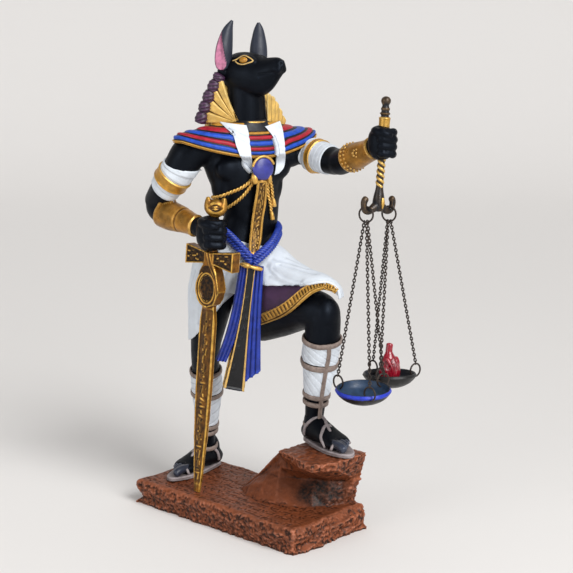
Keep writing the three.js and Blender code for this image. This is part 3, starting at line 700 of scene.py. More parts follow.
def strap(bm, laid, width, thick, closed=False):
    """Flat band with rounded edges that follows a laid path."""
    count = len(laid)

    def rings():
        for k in range(count):
            spot, out = laid[k]
            after = laid[(k + 1) % count if closed else min(k + 1, count - 1)][0]
            before = laid[(k - 1) % count if closed else max(k - 1, 0)][0]
            ahead = (after - before).normalized()
            side = ahead.cross(out).normalized()
            out = side.cross(ahead)
            made, edges = add_ring(bm, 10, side * width * 0.5, out * thick * 0.5, ahead, spot)
            for v in made:
                off = v.co - spot
                u = off.dot(side) / (width * 0.5)
                w = off.dot(out) / (thick * 0.5)
                v.co = spot + side * math.copysign(abs(u) ** 0.6, u) * width * 0.5
                v.co += out * math.copysign(abs(w) ** 0.7, w) * thick * 0.5
            yield edges
    return skin_over(bm, rings(), closed)


def limb_point(rows, s):
    """Place, forward, across and deep directions and half sizes at part s of a limb's stations."""
    at = s * (len(rows) - 1)
    k = min(int(at), len(rows) - 2)
    row = rows[k].lerp(rows[k + 1], at - k)
    here, ahead, across, deep = path_frame([rows[k], row, rows[k + 1]], 1)
    return Vector(row[:3]), ahead, across, deep, row[3], row[4]


def round_limb(tree, rows, s, angle, lift, most=1.28):
    """Point on a limb's skin at part s of its length and an angle round it."""
    here, ahead, across, deep, wide, tall = limb_point(rows, s)
    a = math.radians(angle)
    out = across * math.cos(a) + deep * math.sin(a)
    usual = 1 / math.hypot(math.cos(a) / wide, math.sin(a) / tall)
    hit = tree.ray_cast(here + out * usual * 1.5, -out, usual * 1.5)
    reach = (hit[0] - here).length if hit[0] else usual
    return here + out * (min(max(reach, usual * 0.8), usual * most) + lift), out


def wrap(tree, stations, start, end, lift, nu=64, nv=20, tilt=(0, 0), turn=0.0, darkening=None, most=1.28):
    """Sleeve round a limb between two parts of its length, its ends sunk into the skin below it."""
    rows = smooth_path(filled(stations), 8)

    def place(u, v):
        sway = math.sin(2 * math.pi * u + math.radians(turn))
        s = start + (end - start) * v + (tilt[0] * (1 - v) + tilt[1] * v) * sway
        rise = lift(u, v) if callable(lift) else lift
        if not 0.001 < v < 0.999:
            rise = -0.6
        return round_limb(tree, rows, clamp(s), 360 * u, rise, most)[0]
    return sheet(place, nu, nv, closed=True, darkening=darkening)


def ring_round(tree, stations, at, lift, width, thick, tilt=0.0, turn=0.0):
    """Strap right round a limb."""
    rows = smooth_path(filled(stations), 8)
    laid = []
    for angle in range(0, 360, 9):
        s = at + tilt * math.sin(math.radians(angle + turn))
        laid.append(round_limb(tree, rows, clamp(s), angle, lift))
    return strap(bmesh.new(), laid, width, thick, closed=True)


def piece(name, bm, material, stands_for=()):
    """Finishes a shape: metres, shading, finish and its body."""
    bmesh.ops.scale(bm, vec=(MM, MM, MM), verts=bm.verts)
    mesh = bpy.data.meshes.new(name)
    bm.to_mesh(mesh)
    bm.free()
    for polygon in mesh.polygons:
        polygon.use_smooth = True
    mesh.materials.append(material)
    made = bpy.data.objects.new(name, mesh)
    bpy.context.collection.objects.link(made)
    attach(made, "root")
    if stands_for:
        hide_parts(*stands_for)


# ---------------------------------------------------------------- the figure's skin

RIGHT_ARM = [(-22, 13, 212, 9.5, 9.5, 0), (-31, 9.5, 208.5, 10.2, 10.2, 0), (-37.6, 10.5, 199, 9.4, 9.4, 0),
             (-43.4, 14.5, 191.4, 8.8, 8.6, 0), (-48, 19.6, 185, 8, 8.2, 0), (-51.8, 25.5, 178.8, 7.6, 7.6, 0)]
RIGHT_FOREARM = [(-52.8, 28.5, 178.4, 6, 6, 40), (-50.6, 24.5, 175.6, 7.6, 7.6, 40), (-44.6, 18, 172.2, 7.8, 7.6, 40),
                 (-37, 11.2, 170.4, 6.8, 6.6, 40), (-31, 4.6, 168.8, 5.2, 5.4, 40), (-25, -1, 167, 5, 5.6, 40)]
LEFT_ARM = [(19, 33, 212.5, 9, 9.5, 60), (27.5, 37, 210, 9.4, 9.4, 50), (33.4, 32, 207.6, 8.4, 8.6, 45),
            (38.6, 26, 205.6, 8.2, 8.4, 45), (44.6, 18, 204, 8.2, 8.2, 45), (50.2, 10.4, 202.6, 7.2, 7.4, 45)]
LEFT_FOREARM = [(49.6, 12.5, 202, 6, 6, 55), (52, 7.5, 202.8, 7.3, 7.3, 58), (55.4, 1.5, 204.8, 7.2, 7.1, 58),
                (60.4, -6.4, 207.4, 6.6, 6.6, 60), (66, -15, 210.6, 5.2, 5.4, 60), (70, -20.5, 213.4, 5, 5.6, 60)]
TORSO = [(-5, 22, 140, 17, 13, 28), (-4, 22, 150, 19.5, 14.5, 28), (-1, 22, 159, 18, 13, 28),
         (1.6, 22, 168, 16.4, 11.6, 28), (2, 22, 176, 16.8, 12.2, 28), (0.6, 22, 186, 19.6, 14, 28),
         (-0.6, 22, 196, 23.6, 15.6, 28), (-1.6, 23, 207, 25.6, 15, 28), (-1.2, 22.6, 217, 18, 12.2, 28),
         (0.4, 20.5, 228, 10.8, 10.6, 35), (0, 19.4, 238, 10, 10.6, 45), (-1, 18, 247, 9, 10, 50)]


def skin():
    """Neck, chest, belly and upper arms, with their muscles."""
    bm = bmesh.new()
    tube(bm, TORSO, sides=28)
    ahead, left = direction(CHEST_TURN)
    spine = Vector((0, 22, 0))

    def on_chest(side, forward, z):
        return spine + left * side + ahead * forward + UP * z
    for side in (-1, 1):
        blob(bm, on_chest(10.4 * side, 8.4, 199), (13, 5.2, 8.6), CHEST_TURN)
        blob(bm, on_chest(16.8 * side - 0.6, 2, 191), (4.8 - 0.8 * side, 7.4, 13), CHEST_TURN)
        for row, z in enumerate((189.5, 180.5, 171.5, 163)):
            blob(bm, on_chest(5.2 * side + 1.2, 10.6 - 0.9 * row, z), (5, 3.6, 5.2), CHEST_TURN)
        blob(bm, on_chest(12 * side, -8, 205), (11, 8, 14), CHEST_TURN)
    for stations in (RIGHT_ARM, LEFT_ARM, RIGHT_FOREARM, LEFT_FOREARM):
        tube(bm, stations, sides=22)
    blob(bm, (23, 29, 205.5), (9.5, 8, 7.6), 20, 0)
    blob(bm, (-34, 8, 204.5), (8.6, 8.2, 11), -25, 12)
    blob(bm, (-45.6, 21, 188.5), (6.6, 6.4, 9), -30, 35)
    blob(bm, (-41.5, 11.4, 193), (6.4, 6, 9), -30, 38)
    blob(bm, (31, 36, 209), (9.4, 8.6, 8.6), 45, 0)
    blob(bm, (38, 26.5, 201.6), (6, 10, 5.6), 38, 0)
    bm = melt(bm, 0.94, 10)
    middle = [on_chest(1.4, 15, 204), on_chest(1.4, 16, 196), on_chest(1.2, 13.6, 186), on_chest(1, 12, 170)]
    press(bm, [middle], 1.8, 0.5)
    return bm


def fist(centre, turn, height, size=1.0):
    """Closed hand round a near-upright grip; its knuckles face the viewer and its fingers go off to the right."""
    bm = bmesh.new()
    centre = Vector(centre)
    ahead, left = direction(turn)
    hub = centre + ahead * 0.2 - left * 1.3
    tube(bm, [tuple(hub + UP * height * part) + (half, half * 0.92, turn) for part, half in
              ((-0.46, 5.6), (-0.28, 7.5), (0.05, 8), (0.3, 7.4), (0.46, 5.6))], sides=24)
    thick = height / 8
    for finger in range(4):
        z = centre.z - height / 2 + thick * (2 * finger + 1)
        reach = 6.7 - 0.3 * abs(finger - 2)
        path = []
        for angle, swell, draw in ((-118, 0.7, -1.6), (-96, 1.12, 0.15), (-70, 0.98, 0.1), (-44, 0.95, 0), (-24, 1.1, 0.2),
                                   (2, 1.0, 0), (28, 0.94, -0.4), (48, 0.8, -1.4)):
            a = math.radians(angle + turn)
            path.append((centre.x + (reach + draw) * math.cos(a), centre.y + (reach + draw) * math.sin(a),
                         z + 0.5 - 1.1 * (angle + 96) / 125, thick * swell, thick * swell * 1.1, 0))
        tube(bm, path, sides=14, steps=3)
    thumb = [(-170, 4, 3.2, 2.6), (-140, 6, 3.2, 2.7), (-104, 7.2, 2.6, 2.5), (-70, 7.8, 1.6, 2.2), (-48, 7.6, 1, 1.7)]
    tube(bm, [(centre.x + r * math.cos(math.radians(a + turn)), centre.y + r * math.sin(math.radians(a + turn)),
               centre.z + height / 2 + rise - 4.8, half) for a, r, rise, half in thumb], sides=12)
    bmesh.ops.scale(bm, vec=(size, size, size), space=Matrix.Translation(-centre), verts=bm.verts)
    return melt(bm, 0.44, 4)


RIGHT_LEG = [(-26, 41.5, 22, 5.6, 6.4, 0), (-25.8, 39.5, 36, 5.2, 5.6, 0), (-25.3, 36.4, 50, 6.4, 6.9, 0),
             (-25, 33, 67, 8.4, 9.2, 0), (-25.4, 30, 80, 8.2, 8.8, 0), (-25.2, 26.6, 93, 8.6, 9.2, 0),
             (-22.6, 24.5, 110, 10.6, 11, 0), (-18, 22, 132, 12.5, 12.5, 0)]
LEFT_THIGH = [(8, 24, 119, 13.6, 21.5, 45), (20, 11, 120.6, 13.6, 17.4, 45), (33, -4, 122.6, 12.2, 12.2, 45),
              (41, -13.6, 122, 10.8, 10.8, 45), (45, -18, 120.6, 7.6, 9, 45)]
LEFT_SHIN = [(40, -5.4, 49, 5.6, 6.2, 20), (38, -5.4, 58, 5.2, 5.6, 20), (38.6, -7.4, 70, 5.9, 6.3, 20),
             (40, -9.6, 84, 7.6, 8.2, 20), (41, -11, 96, 9.1, 9.6, 20), (42, -13.6, 108, 9.8, 10, 20),
             (42.4, -15, 120, 9.8, 9.8, 20)]


def right_leg():
    bm = bmesh.new()
    tube(bm, RIGHT_LEG, sides=24)
    blob(bm, (-26, 25, 92), (6.4, 7.6, 7.6), -20)
    blob(bm, (-21.6, 35, 68), (5, 6, 12), 0, -8)
    blob(bm, (-28.6, 35, 71), (5, 6, 12), 0, -8)
    blob(bm, (-23.5, 21, 112), (8, 7, 15), 0, 6)
    return melt(bm, 0.82, 6)


def left_leg():
    bm = bmesh.new()
    tube(bm, LEFT_THIGH, sides=26)
    tube(bm, LEFT_SHIN, sides=24)
    blob(bm, (44.4, -18, 121.4), (8.2, 6.6, 9.8), 40)
    blob(bm, (44.4, -6.6, 93), (5.6, 6.6, 13), 30, -6)
    blob(bm, (37, -7, 95), (5.6, 6.2, 13), 30, -6)
    blob(bm, (30, 1, 130.5), (8, 13, 5.5), 40, 12)
    return melt(bm, 0.82, 6)


def bare_foot(heel, turn, floor):
    """Foot with its arch and ankle, and five toes whose tips slant back from the inner big toe."""
    foot, toes = bmesh.new(), bmesh.new()
    inner = 1 if turn < 0 else -1
    rows = [(0.6, 4.6, 4, 4.2), (4, 6.4, 5.2, 6), (9, 8, 5.6, 8), (15, 7.2, 6.2, 6.2), (21, 5.6, 7.2, 4.6),
            (26, 4.6, 7.9, 3.4), (28.6, 4.2, 7.2, 2.8)]
    tube(foot, [tuple(pace(heel, turn, t, 0.1 * inner, floor + z)) + (half, tall, turn) for t, z, half, tall in rows],
         sides=22, corner=0.9)
    blob(foot, pace(heel, turn, 6, 0, floor + 11), (5.4, 5.8, 9), turn)
    blob(foot, pace(heel, turn, 28, 4.8 * inner, floor + 4), (3.8, 6, 3), turn)
    for k, (tip, half) in enumerate(zip((39.6, 37.4, 35, 32.2, 29.2), (2.3, 1.7, 1.6, 1.5, 1.45))):
        side = inner * (5.8 - 3.05 * k)
        rows = [(tip - 11, side * 0.86, 4.6, half), (tip - 6, side * 0.97, 5, half), (tip - 3, side, 4.4, half * 1.06),
                (tip - 0.9, side * 1.02, 3.5, half * 0.92)]
        tube(toes, [tuple(pace(heel, turn, t, s, floor + z)) + (r, r * 1.05, turn) for t, s, z, r in rows], sides=12)
    return melt(foot, 0.55, 5), melt(toes, 0.4, 3)


def on_head(ahead, left, z):
    return pace(SKULL, HEAD_TURN, ahead, left, z)


def head():
    """Long-muzzled head: each row is (distance ahead of the skull's middle, top, bottom, half width)."""
    rows = [(-13, 256, 247, 3), (-10.5, 260, 243, 7.5), (-5, 262.6, 240, 10.2), (1, 263.3, 238.8, 11),
            (7, 262.6, 238.4, 10.2), (12, 261.8, 238.8, 8.6), (15.6, 261.2, 240.8, 7), (19.2, 260.9, 244, 5.8),
            (22.8, 260.8, 247.5, 4.9), (26, 260.6, 250.2, 4.2), (28.2, 259.2, 252.3, 3.2)]
    bm = bmesh.new()
    tube(bm, [tuple(on_head(t, 0, (top + low) / 2)) + (half, (top - low) / 2, HEAD_TURN)
              for t, top, low, half in rows], sides=26)
    tube(bm, [(-0.4, 19, 226, 10, 10.4, 45), (-1, 18, 238, 9.6, 10.4, 50), (-1.4, 17.6, 250, 9, 9.6, 50)], sides=24)
    for side in (-1, 1):
        blob(bm, on_head(8, 5.4 * side, 258.6), (3.2, 6, 3.2), HEAD_TURN, 8)
        blob(bm, on_head(5, 4.6 * side, 248.6), (5.4, 9.6, 7.6), HEAD_TURN, 0)
        blob(bm, on_head(24.4, 2.2 * side, 254), (2.6, 5.2, 3), HEAD_TURN, 6)
    blob(bm, (-12.4, 16, 252.4), (4, 4, 3.6))
    blob(bm, on_head(27.7, 0, 256.9), (2.9, 2.4, 2.4), HEAD_TURN)
    bm = melt(bm, 0.5, 12)
    for side in (-1, 1):
        mouth = [on_head(29, 0.6 * side, 253.6), on_head(26.6, 3.6 * side, 252.7),
                 on_head(22.6, 4.8 * side, 251.8), on_head(17.6, 6.4 * side, 251.2)]
        press(bm, [mouth], 0.6, 0.45)
        press(bm, [[on_head(29.3, 1.7 * side, 257.1)]], 0.9, 0.9)
        press(bm, [[on_head(6.6, 10.6 * side, 258.8)]], 3.4, 0.9)
    press(bm, [[on_head(29.7, 0, 256), on_head(29.6, 0, 253.8)]], 0.5, 0.4)
    return bm


def ear(stations, opening, sweep, spread, dish):
    """Hollow ear: a slim shell with a dished mouth that turns with height and ends in a point below the tip."""
    rows = smooth_path(filled(stations), 8)

    def bite(u, v):
        k = clamp((0.72 - v) / 0.5)
        round_foot = min(1, v / 0.13) ** 0.5
        off = abs((360 * u - opening - sweep * k + 180) % 360 - 180) / (spread * k ** 0.6 * round_foot + 0.01)
        return math.cos(off * math.pi / 2) ** 0.6 * min(1, k / 0.12) if off < 1 else 0.0

    def place(u, v):
        here, ahead, across, deep, wide, tall = limb_point(rows, v)
        a = math.radians(360 * u)
        close = min(1, v / 0.07) ** 0.5
        return here + (across * math.cos(a) * wide + deep * math.sin(a) * tall) * (1 - dish * bite(u, v)) * close
    return sheet(place, 60, 48, closed=True, darkening=lambda u, v: 1.0 if bite(u, v) > 0.12 else 0.0)


def eyes():
    """Gold outlines with their tails, and gold irises in dark sockets."""
    outlines, irises = bmesh.new(), bmesh.new()
    for side in (-1, 1):
        def on_face(t, z):
            return head_tree.ray_cast(on_head(t, 24 * side, z), -direction(HEAD_TURN)[1] * side)[0]
        rim = [(0.2, 258.3), (2.2, 258.9), (4.6, 260.4), (7.3, 261.1), (10, 260.5), (13.2, 258.4), (10.6, 257.1),
               (7.3, 256.4), (4.4, 256.8), (2.2, 258)]
        path = [on_face(t, z - (0.9 if side > 0 else 0)) for t, z in rim]
        halves = [0.3] + [0.4] * (len(path) - 2) + [0.35]
        tube(outlines, [tuple(p) + (h, h, 0) for p, h in zip(path, halves)], sides=8, steps=5)
        blob(irises, on_face(7.4, 258.8) + direction(HEAD_TURN)[1] * side * 0.1, (3.0, 1.0, 1.65), HEAD_TURN + 90,
             segments=18)
    return outlines, irises


# ---------------------------------------------------------------- collar and headcloth

COLLAR_ROWS = [(0.3, 20.4, 226.4, 11.4, 11.2), (0.2, 20.6, 225, 13.2, 12.2), (-0.4, 21, 222, 21, 13.9),
               (-1, 21.2, 219, 28, 15.4), (-0.8, 21.4, 215, 36, 17.6), (-0.6, 21.5, 211, 41.4, 19.2),
               (-0.6, 21.5, 207, 43.6, 20.1), (-0.6, 21.5, 205, 44, 20.3)]
COLLAR_BANDS = [(0.1, 0.205, GOLD), (0.25, 0.38, RED), (0.43, 0.56, COLLAR_BLUE), (0.615, 0.73, RED),
                (0.78, 0.9, COLLAR_BLUE), (0.945, 1.01, GOLD)]
# How far down the same bands lie at the breast, between the two lappets
BREAST_BANDS = [(0, 0), (0.1, 0.345), (0.205, 0.4), (0.25, 0.44), (0.38, 0.535), (0.43, 0.58), (0.56, 0.695),
                (0.615, 0.745), (0.73, 0.825), (0.78, 0.86), (0.9, 0.93), (0.945, 0.96), (1, 1)]


def collar():
    ahead, left = direction(CHEST_TURN)
    rows = smooth_path(COLLAR_ROWS, 10)

    def place(u, band):
        a = 2 * math.pi * u
        sideways = abs(math.cos(a))
        breast = 0
        if math.sin(a) < 0:
            reach = sideways * 36
            breast = 1 if reach < 9 else max(0, (17 - reach) / 8)
        low = next(i for i in range(len(BREAST_BANDS) - 1) if band <= BREAST_BANDS[i + 1][0] + 1e-6)
        (b0, v0), (b1, v1) = BREAST_BANDS[low:low + 2]
        v = band + (v0 + (v1 - v0) * (band - b0) / (b1 - b0) - band) * breast
        z = 226.4 - 21.4 * v
        k = next((i for i in range(len(rows) - 1) if rows[i + 1][2] <= z), len(rows) - 2)
        row = rows[k].lerp(rows[k + 1], clamp((rows[k][2] - z) / (rows[k][2] - rows[k + 1][2] + 1e-9)))
        side, back = math.cos(a) * row[3], math.sin(a) * row[4]
        bulge = min(1, (side / 42) ** 2)
        rise = v ** 0.6 * (v ** 0.4 + 10 * bulge) if side > 0 else v ** 0.5 * (v ** 0.5 + 8.5 * bulge)
        puff = 0.0
        for start, end, _ in COLLAR_BANDS:
            if start < band < end:
                puff = 0.75 * math.sin(math.pi * (band - start) / (end - start)) ** 0.6
        out = (left * math.cos(a) + ahead * -math.sin(a) * 1.6 + UP * 0.9).normalized()
        return Vector((row[0], row[1], z + rise)) + left * side - ahead * back + out * (puff - 0.2)
    return sheet(place, 120, 66, 1.4, closed=True)


def lappets(tree):
    """Two white cloths that hang over the breast, draped on the collar."""
    near_left = [(-14.8, 225.2), (-11.1, 221.9), (-7.2, 218.1), (-5.4, 212.8), (-3.4, 207.4), (-1.6, 201.8), (3, 196.8)]
    near_right = [(0.2, 223.4), (1.4, 219.4), (2.1, 215.3), (2.7, 210), (3.2, 204.4), (3.6, 200), (4, 197.2)]
    far_left = [(10.2, 222.4), (12.6, 219.4), (14.7, 216.4), (16.6, 210.4), (16.4, 203.4), (16, 198.6), (15.4, 195)]
    far_right = [(18.6, 225), (20, 221), (20.8, 216.4), (21.6, 210.2), (21.6, 204.6), (20.8, 199.2), (18, 195.8)]
    parts = []
    for left_edge, right_edge in ((near_left, near_right), (far_left, far_right)):
        left_rows = smooth_path([(*p, 0) for p in left_edge], 6)
        right_rows = smooth_path([(*p, 0) for p in right_edge], 6)

        def front(x, z):
            spot = from_front(tree, x, z)[0]
            return spot.y if spot and spot.y < 24 else 24

        def place(u, v):
            x, z = lerp_on(left_rows, v).lerp(lerp_on(right_rows, v), u)[:2]
            return Vector((x, front(x, z), z))
        bm = sheet(place, 28, 60)
        limits = [(v, v.co.y) for v in bm.verts]
        for _ in range(60):
            bmesh.ops.smooth_vert(bm, verts=bm.verts, factor=0.5, use_axis_y=True)
            for v, y in limits:
                v.co.y = min(v.co.y, y)
        for v in bm.verts:
            v.co.y -= 1.3
        edges = [v for v in bm.verts if v.is_boundary]
        for v in edges:
            v.co.y += 0.4
        luck = random.Random(len(parts))
        lows = (left_edge[-1][1], left_edge[0][1])
        creases = []
        for k in range(5):
            z = lows[0] + (lows[1] - lows[0]) * (k + 0.7) / 6
            x = (left_edge[0][0] + 3) if not parts else 13
            creases.append([(x - 3, 5, z + 3), (x + 4, 4, z), (x + 12, 4, z - 2 - luck.random() * 2)])
        surface = tree_of(bm)
        # The crease lines are washed dark, partly as painted shade in the creases
        press(bm, [[p for p, _ in lay(surface, line)] for line in creases], 0.8, 0.35, 0.3)
        thicken(bm, 1.4)
        parts.append(bm)
    return join(*parts)


def near_fan():
    """Pleated side of the headcloth: four pleats spread from the shoulder corner."""
    rim = smooth_path([(7.6, 248, 0), (11.6, 243.6, 0), (14.3, 237.4, 0), (16.8, 230.8, 0), (18.4, 223.8, 0)], 8)

    def lift(u, v):
        frac = (u * 4) % 1 if u < 1 else 1
        groove = 1 - bell(min(frac, 1 - frac), 0.07)
        return (1.3 + 1.7 * groove * (0.75 + 0.35 * (1 - frac))) * min(1, 0.25 + v * 1.1)

    def place(u, v):
        tip = lerp_on(rim, u)
        frac = (u * 4) % 1
        reach = v * (1 + 0.035 * math.sin(math.pi * frac))
        s, z = tip[0] * reach, 224.6 + (tip[1] - 224.6) * reach
        along = Vector((-0.925, 0.38, 0))
        return Vector((-5.6, 9.4, z)) + along * s + Vector((-0.38, -0.925, 0)) * (lift(u, v) - 0.9)

    # Darkens the grooves between pleats: washed paint, partly painted shade
    def darkening(u, v):
        frac = (u * 4) % 1
        edge = min(frac, 1 - frac) if 0.02 < u < 0.98 else 1
        return bell(edge, 0.045) * min(1, 0.2 + v)
    return sheet(place, 80, 30, 1.6, darkening=darkening)


def far_fan():
    top = smooth_path([(-1, 240.4, 0), (4.6, 238.6, 0), (9.6, 234.4, 0), (14.4, 229.2, 0), (18.6, 223.6, 0)], 8)

    def place(u, v):
        peak = lerp_on(top, u)
        s = 18.6 * u + (peak[0] - 18.6 * u) * v
        z = 222.6 + (peak[1] - 222.6) * v
        ridge = abs(math.sin(math.pi * 5 * u)) ** 0.6
        return (Vector((11.2, 17, z)) + Vector((0.522, 0.853, 0)) * s
                + Vector((0.853, -0.522, 0)) * (0.5 + 1.3 * ridge * (0.4 + 0.6 * v)))
    # The valleys between pleats are washed dark, partly as painted shade
    return sheet(place, 70, 16, 1.6, darkening=lambda u, v: 0.7 * bell(abs((u * 5 + 0.5) % 1 - 0.5), 0.1))


def cloth_back():
    rows = smooth_path([(-3, 29, 220.6, 23, 8.4, 28), (-3, 28.5, 230, 21, 8.9, 28), (-4, 27, 240, 16, 8.9, 33),
                        (-4.5, 24.5, 250, 11.7, 8.4, 40), (-4.5, 22.4, 257, 8, 6.2, 48),
                        (-4.5, 21.6, 260.4, 2.6, 2.4, 50)], 8)

    def place(u, v):
        here, ahead, across, deep, wide, tall = limb_point(rows, v)
        a = 2 * math.pi * u
        ridge = 1 + 0.05 * (abs(math.sin(11 * a)) - 0.6)
        return here + (across * math.cos(a) * wide + deep * math.sin(a) * tall) * ridge
    # The valleys between ridges are washed dark, partly as painted shade
    return sheet(place, 176, 30, closed=True,
                 darkening=lambda u, v: 0.8 * bell(abs((u * 22 + 0.5) % 1 - 0.5), 0.12))


def braid():
    """Dark side lock in five plump, cord-textured lobes."""
    def radius(u, v):
        bead = abs(math.sin(5 * math.pi * min(max(v, 0.001), 0.999)))
        return 2.1 + 1.35 * bead ** 0.5 + 0.2 * math.sin(2 * math.pi * (5 * u + 14 * v)) * bead ** 0.4
    return hose([(-14.2, 12.6, 251.2), (-16.4, 13.2, 247.4), (-19.6, 13.8, 241.8), (-22.2, 14.4, 235.8),
                 (-24.4, 14.8, 230), (-26.2, 14.8, 223.6)], radius, 36, 150)


# ---------------------------------------------------------------- breast jewels, cords and strip

def breast_disc():
    bm = bmesh.new()
    blob(bm, (9.2, 4.6, 199.6), (6.4, 2.4, 6.6), CHEST_TURN, segments=40)
    return bm


def breast_arc():
    ahead, left = direction(CHEST_TURN)
    centre = Vector((9, 4.2, 199.4))
    path = [centre + left * 6.7 * math.cos(math.radians(a)) + UP * 7 * math.sin(math.radians(a)) + ahead * 1.1
            for a in range(22, 168, 12)]
    bm = bmesh.new()
    tube(bm, [tuple(p) + (0.75, 0.75, 0) for p in path], sides=10, steps=3)
    return bm


def body_cords():
    """Twisted gold cords from the breast knot, with their tassels."""
    bm = bmesh.new()
    runs = [[(4.6, 5, 195), (1.5, 4.6, 191.4), (-4, 5, 188), (-12.1, 7, 185.2), (-20, 14, 182.4), (-22.6, 24, 180),
             (-17, 33, 178.6), (-8, 37.4, 178)],
            [(5, 4.8, 194), (2.6, 4.8, 189.2), (-3, 6.4, 183), (-11.2, 11, 176.8), (-17, 20, 172.6), (-15, 30, 171.6),
             (-6, 34.8, 171)],
            [(13.2, 7, 193.6), (14.2, 8, 187), (15.2, 9.6, 181.3), (17.2, 12, 172.6)],
            [(15, 8.6, 194.2), (17.2, 10, 187), (19.4, 12.4, 179.6)]]
    ends = []
    for k, run in enumerate(runs):
        path = [p for p, _ in lay(body_tree, run, 0.75, 5)]
        rope(bm, path[::2] + [path[-1]], 0.5, 0.58, 4.2, 2, 7, k)
        ends.append(path[-1])
    for x, y, z in ends[2:]:
        tube(bm, [(x, y - 0.3, z + 1.6, 0.8, 0.8, 0), (x + 0.2, y - 0.4, z, 1.15, 1.1, 0),
                  (x + 0.5, y - 0.2, z - 2.6, 1.3, 1.1, 0)], sides=12)
    knot = [(5, 3.6, 196.8, 1.5, 1.3, 0), (4.4, 3, 194.6, 1.9, 1.6, 0), (5.4, 3, 191.8, 1.5, 1.4, 0)]
    tube(bm, knot, sides=14)
    tube(bm, [(12.4, 6.2, 196.4, 1, 0.9, 0), (12.9, 6.4, 194, 1.3, 1.1, 0), (12.6, 7, 191.4, 1, 0.9, 0)], sides=12)
    return bm


def breast_strip():
    """Raised gold strip down the belly: a rim round a dark field with shallow strokes."""
    line = smooth_path([(8.7, 3.8, 192.6, 2.6), (8.2, 4.6, 186, 3.1), (7.2, 5.4, 179, 3.5), (6, 6, 172, 3.4),
                        (5.2, 5.8, 165, 3.5), (4.6, 4.8, 159.5, 3.6), (4, 3.4, 154.4, 2.9),
                        (3.6, 2.2, 150.4, 1.5)], 8)
    ahead, left = direction(22)

    def spot(u, v, lift):
        row = lerp_on(line, v)
        x = (u - 0.5) * 2
        return Vector(row[:3]) + left * x * row[3] + ahead * (lift - 0.8 * x * x)

    def place(u, v):
        rim = min(u, 1 - u) < 0.15 or v < 0.025 or v > 0.9
        return spot(u, v, 1.5 if rim else 0.95)

    def darkening(u, v):
        return 0.0 if min(u, 1 - u) < 0.17 or v < 0.03 or v > 0.9 else 1.0
    bm = sheet(place, 30, 160, 1.8, darkening=darkening)
    marks = []
    for group in stroke_row((0, 0, 0), (0, 1, 0), (1, 0, 0), 44 * 0.86, 5.2, 4.1, 5, 1.25):
        marks.append([spot(0.5 + (p[0] - 2.6) / 7.4, 0.03 + p[1] / 44, 1.3) for p in group])
    press(bm, marks, 0.34, -0.55, -1.4)
    return bm


# ---------------------------------------------------------------- wrappings, armlets, bracers, straps and sandals

def windings(rows, slant, depth=0.32, base=0.7):
    """Lift of overlapping cloth turns that run round a limb at a slant."""
    def lift(u, v):
        frac = (rows * v + slant * u) % 1
        return base + depth * (frac ** 0.8 if frac < 0.86 else (1 - frac) / 0.14)
    return lift


# Darkens the low step between turns: washed paint, partly painted shade
def winding_darkening(rows, slant, amount=0.5):
    def darkening(u, v):
        frac = (rows * v + slant * u) % 1
        gap = min(frac, 1 - frac)
        return amount * bell(gap, 0.07)
    return darkening


def rimmed(base, rim, width=0.09, seam=None):
    """Lift of a metal band with a raised rim at both ends."""
    def lift(u, v):
        edge = bell(min(v, 1 - v) - width * 0.5, width * 0.5)
        groove = 0.5 * bell(v - seam, 0.03) if seam else 0
        return base + rim * edge - groove
    return lift


def bandages():
    bands = [(RIGHT_ARM, 0.36, 0.48, 2, (0.05, 0), -90, 1.14), (RIGHT_ARM, 0.595, 0.73, 2, (0, 0.02), 90, 1.14),
             (LEFT_ARM, 0.51, 0.62, 2, (0, 0), 0, 1.1), (LEFT_ARM, 0.69, 0.87, 3, (0, 0.02), -60, 1.2)]
    return join(*(wrap(body_tree, limb, start, end, windings(rows, 1, base=0.5), nv=30, tilt=tilt, turn=turn,
                       darkening=winding_darkening(rows, 1), most=most) for limb, start, end, rows, tilt, turn, most in bands))


def armlets():
    return join(wrap(body_tree, RIGHT_ARM, 0.475, 0.6, rimmed(1.3, 0.35, 0.2), nv=24, most=1.14),
                wrap(body_tree, LEFT_ARM, 0.612, 0.7, rimmed(1.2, 0.25, 0.2), nv=24, most=1.3))


def bracers():
    """Gold guards on both forearms; the left one has studs and a rosette."""
    right = wrap(body_tree, RIGHT_FOREARM, 0.33, 0.9, rimmed(1.0, 0.18, 0.07, 0.55), nv=60,
                 darkening=lambda u, v: bell(v - 0.55, 0.016), most=1.1)
    left = wrap(body_tree, LEFT_FOREARM, 0.47, 0.92, rimmed(1.0, 0.18, 0.08), nv=50, most=1.1)
    rows = smooth_path(filled(LEFT_FOREARM), 8)
    studs = bmesh.new()
    for at in (0.515, 0.57):
        for k in range(22):
            spot, _ = round_limb(body_tree, rows, at, 360 * k / 22, 1.1, 1.1)
            blob(studs, spot, (0.7, 0.7, 0.7), segments=8)
    rose = from_front(body_tree, 59.6, 209.6)[0] + TO_VIEWER * 1.2
    for k in range(8):
        a = math.radians(45 * k)
        blob(studs, rose + Vector((1.9 * math.cos(a), 0, 1.9 * math.sin(a))), (0.72, 0.6, 0.72), segments=8)
    blob(studs, rose, (0.9, 0.8, 0.9), segments=10)
    return join(right, left, studs)


def leg_wraps():
    bands = [(LEFT_SHIN, 0.64, 0.812, 3, 9), (LEFT_SHIN, 0.4, 0.6, 3, 9), (RIGHT_LEG, 0.42, 0.54, 3, -3),
             (RIGHT_LEG, 0.24, 0.4, 3, -3)]
    return join(*(wrap(leg_tree, limb, start, end, windings(rows, slant, 0.34), nu=104, nv=38,
                       darkening=winding_darkening(rows, slant)) for limb, start, end, rows, slant in bands))


